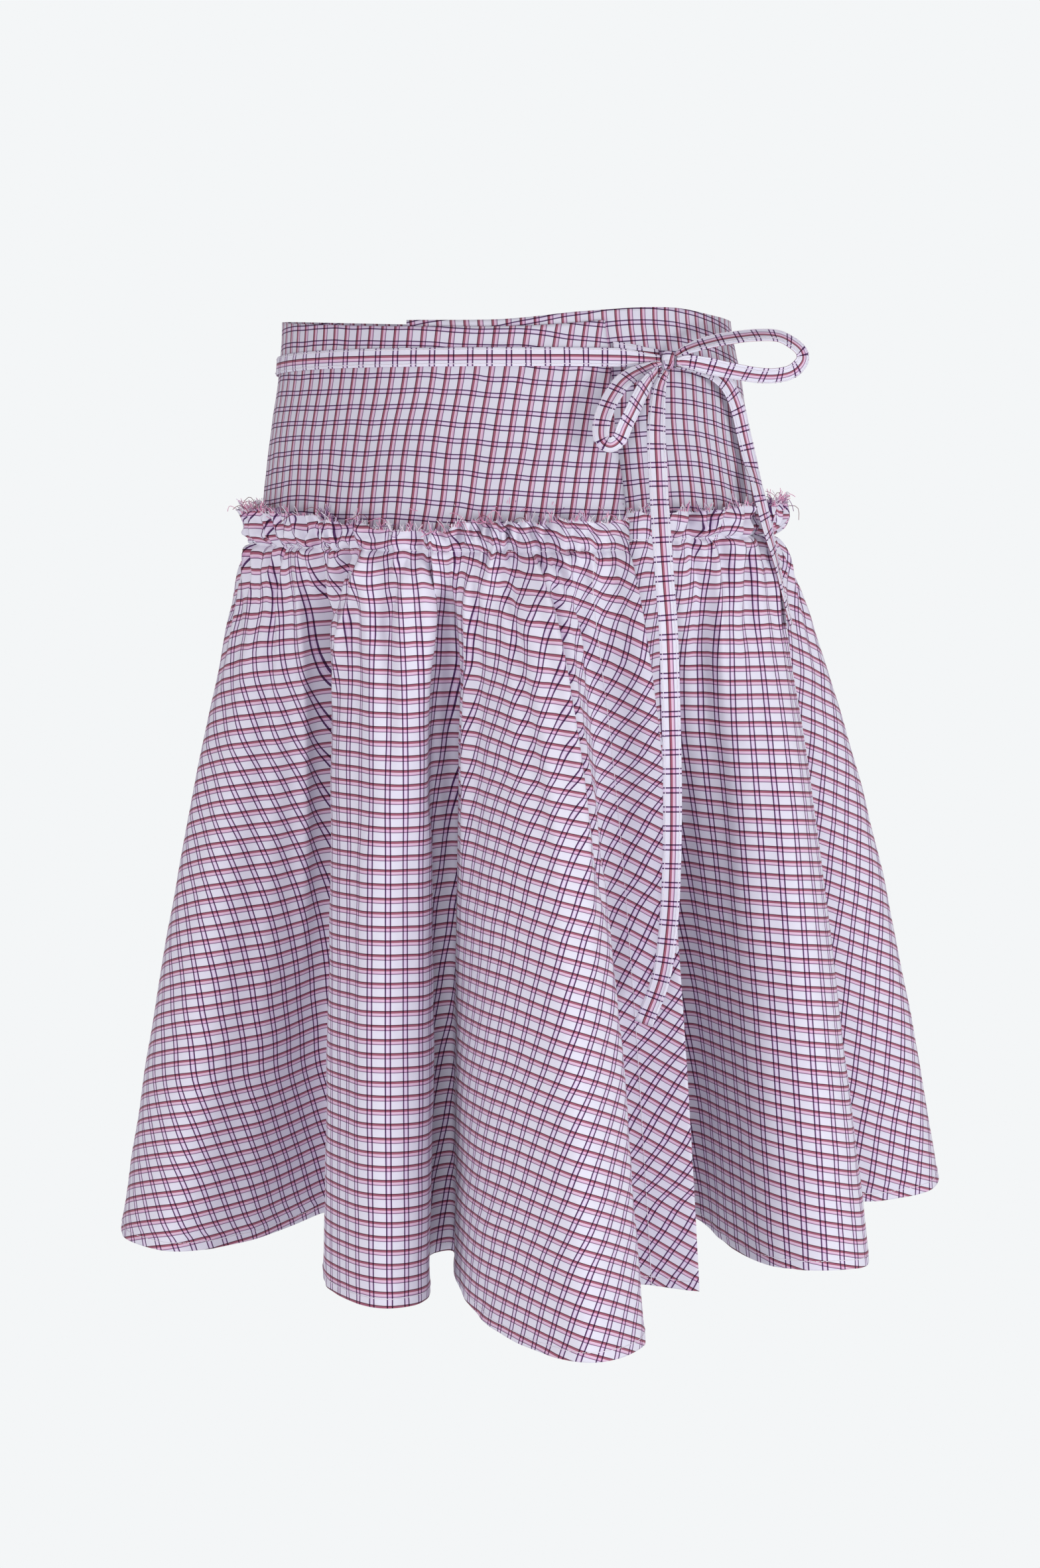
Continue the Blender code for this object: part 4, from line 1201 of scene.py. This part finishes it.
# How far a loose yarn lies off the cloth at its start, and how much further at its end
LOOSE_OFF = (0.0009, 0.0012)
YARN_ROUGHNESS = 0.9
YARN_COLOURS = {
    "pale_yarn": (0.90, 0.88, 0.95, 1.0),
    "purple_yarn": (0.22, 0.10, 0.25, 1.0),
    "lilac_yarn": (0.78, 0.66, 0.84, 1.0),
    "pink_yarn": (0.82, 0.36, 0.56, 1.0),
    "brown_yarn": (0.24, 0.08, 0.10, 1.0),
    "white_thread": (0.86, 0.84, 0.90, 1.0),
}


def yarn_material(name):
    """Soft cotton yarn of one colour."""
    weave = Weave(name)
    weave.shader.inputs["Base Color"].default_value = YARN_COLOURS[name]
    weave.shader.inputs["Roughness"].default_value = YARN_ROUGHNESS
    return weave.material


yarn_materials = [yarn_material(name) for name in YARN_COLOURS]
PALE, PURPLE, LILAC, PINK, BROWN, WHITE = range(len(YARN_COLOURS))
# The yarns' colours in the bands of the pairs' stripes
BAND_YARNS = {2: PURPLE, 6: PURPLE, 3: LILAC, 4: LILAC, 5: LILAC}


def yarn_piece(name, paths, radius):
    """Many short yarns as one curve. Each path is its points and the number of its colour."""
    curve = bpy.data.curves.new(name, "CURVE")
    curve.dimensions = "3D"
    curve.bevel_depth = radius
    curve.bevel_resolution = 0
    for material in yarn_materials:
        curve.materials.append(material)
    for path, colour in paths:
        spline = curve.splines.new("POLY")
        spline.points.add(len(path) - 1)
        spline.points.foreach_set("co", np.hstack((path, np.ones((len(path), 1)))).ravel())
        spline.material_index = colour
    piece = placed(name, curve)
    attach(piece, "root")


def at_length(lengths, values, place):
    """Values along a line, read at lengths along it."""
    return np.stack([np.interp(place, lengths, column) for column in values.T], axis=-1)


def fringe_of(sheet, seed):
    """The free warp ends and the loose yarns along the torn edge of a tier."""
    chance = np.random.default_rng(seed)
    lengths = sheet.along[:, 0]

    def edge_at(place):
        """A point of the torn edge, and the ways up and out there."""
        root = at_length(lengths, sheet.points[:, 0], place)
        below = at_length(lengths, sheet.points[:, FRINGE_MEETS_ROW], place)
        return root, unit(root - below), at_length(lengths, sheet.normals[:, 1], place)

    paths = []
    for start in np.arange(0.0, lengths[-1], FRINGE_APART):
        place = start + chance.uniform(0.0, FRINGE_APART)
        root, up, out = edge_at(place)
        side = np.cross(up, out)
        clump = 0.25 * math.sin(place * CLUMP_WAVE + seed)
        way = unit(up + out * chance.uniform(-0.05, 0.55) + side * (clump + 0.28 * chance.standard_normal()))
        bend = unit(way + side * 0.5 * chance.standard_normal() + out * chance.uniform(-0.3, 0.5))
        tuft = 0.5 + 0.5 * math.sin(place * TUFT_WAVES[0] + 2.0 * math.sin(place * TUFT_WAVES[1] + seed))
        reach = chance.uniform(*FRINGE_LENGTHS) * (0.22 + 0.95 * tuft**2)
        phase = np.interp(place, lengths, sheet.cut[:, 0, 0]) % PAIR_REPEAT
        colour = BAND_YARNS.get(sum(phase >= band.start for band in PAIR_BANDS), PALE)
        if colour == PALE and chance.uniform() < 0.12 + 0.40 * tuft**3:
            colour = PINK
        root = root - up * FRINGE_SINKS
        knee = root + way * reach * 0.55
        paths.append((np.array((root, knee, knee + bend * reach * 0.45)), colour))
    for _ in range(LOOSE_YARNS):
        place = chance.uniform(0.01, 0.99) * lengths[-1]
        reach = chance.uniform(*LOOSE_LENGTHS)
        steps = np.linspace(0.0, 1.0, 6)
        root, up, out = edge_at(place)
        side = np.cross(up, out) * chance.choice((-1.0, 1.0))
        rise = LOOSE_RISE + LOOSE_CURL * chance.uniform(-1.0, 1.5) * np.sin(math.pi * steps)
        off = LOOSE_OFF[0] + LOOSE_OFF[1] * steps
        path = root + np.outer(steps, side * reach) + np.outer(rise, up) + np.outer(off, out)
        paths.append((path, int(chance.choice((PURPLE, PINK, PINK, BROWN)))))
    return paths


for number, panel in enumerate(TIER_PANELS):
    paths = fringe_of(tier_sheets[panel.name], 80 + number)
    yarn_piece(panel.name + "_fringe", paths, FRINGE_RADIUS)

# Stitches. Pale thread holds the gathers to the yoke, the turned hem, the facing along the wrap edge, and
# both edges of the ties.
STITCH_RADIUS = 0.00022
STITCH_PITCH = 0.0031
STITCH_LENGTH = 0.0024
HEM_DEPTH = 0.0065
FACING_WIDTH = 0.031
# How far the start, the middle and the end of a stitch stand off the cloth
STITCH_LIFTS = (0.00010, 0.00030, 0.00010)


def stitches_on(line, normals):
    """Stitches along a line on the cloth."""
    lengths = lengths_along(line, 0)
    lift = np.array(STITCH_LIFTS)[:, None] + 0.5 * SHEET_THICKNESS
    paths = []
    for start in np.arange(0.5 * (STITCH_PITCH - STITCH_LENGTH), lengths[-1] - STITCH_LENGTH, STITCH_PITCH):
        places = start + STITCH_LENGTH * np.array((0.0, 0.5, 1.0))
        path = at_length(lengths, line, places) + at_length(lengths, normals, places) * lift
        paths.append((path, WHITE))
    return paths


def across_sheet(sheet, cloth):
    """The line across a tier at one length of cloth below its seam, and its normals."""
    row = int(np.argmin(np.abs(sheet.cloth[-1] - cloth)))
    return sheet.points[:, row], sheet.normals[:, row]


def beside_edge(sheet, inset):
    """The line down a tier beside its last edge, from the seam to the hem, and its normals."""
    line, normals = [], []
    for row in range(SEAM_ROW, sheet.points.shape[1]):
        lengths = sheet.along[:, row]
        line.append(at_length(lengths, sheet.points[:, row], lengths[-1] - inset))
        normals.append(at_length(lengths, sheet.normals[:, row], lengths[-1] - inset))
    return np.array(line), np.array(normals)


for panel in TIER_PANELS:
    sheet = tier_sheets[panel.name]
    paths = stitches_on(*across_sheet(sheet, 0.0))
    paths += stitches_on(*across_sheet(sheet, TIER_LENGTH - HEM_DEPTH))
    if panel.name == "tier_over_front":
        paths += stitches_on(*beside_edge(sheet, FACING_WIDTH))
    yarn_piece(panel.name + "_stitches", paths, STITCH_RADIUS)
tie_paths = []
for line, normals in tie_lines:
    tie_paths += stitches_on(line, normals)
yarn_piece("tie_stitches", tie_paths, STITCH_RADIUS)
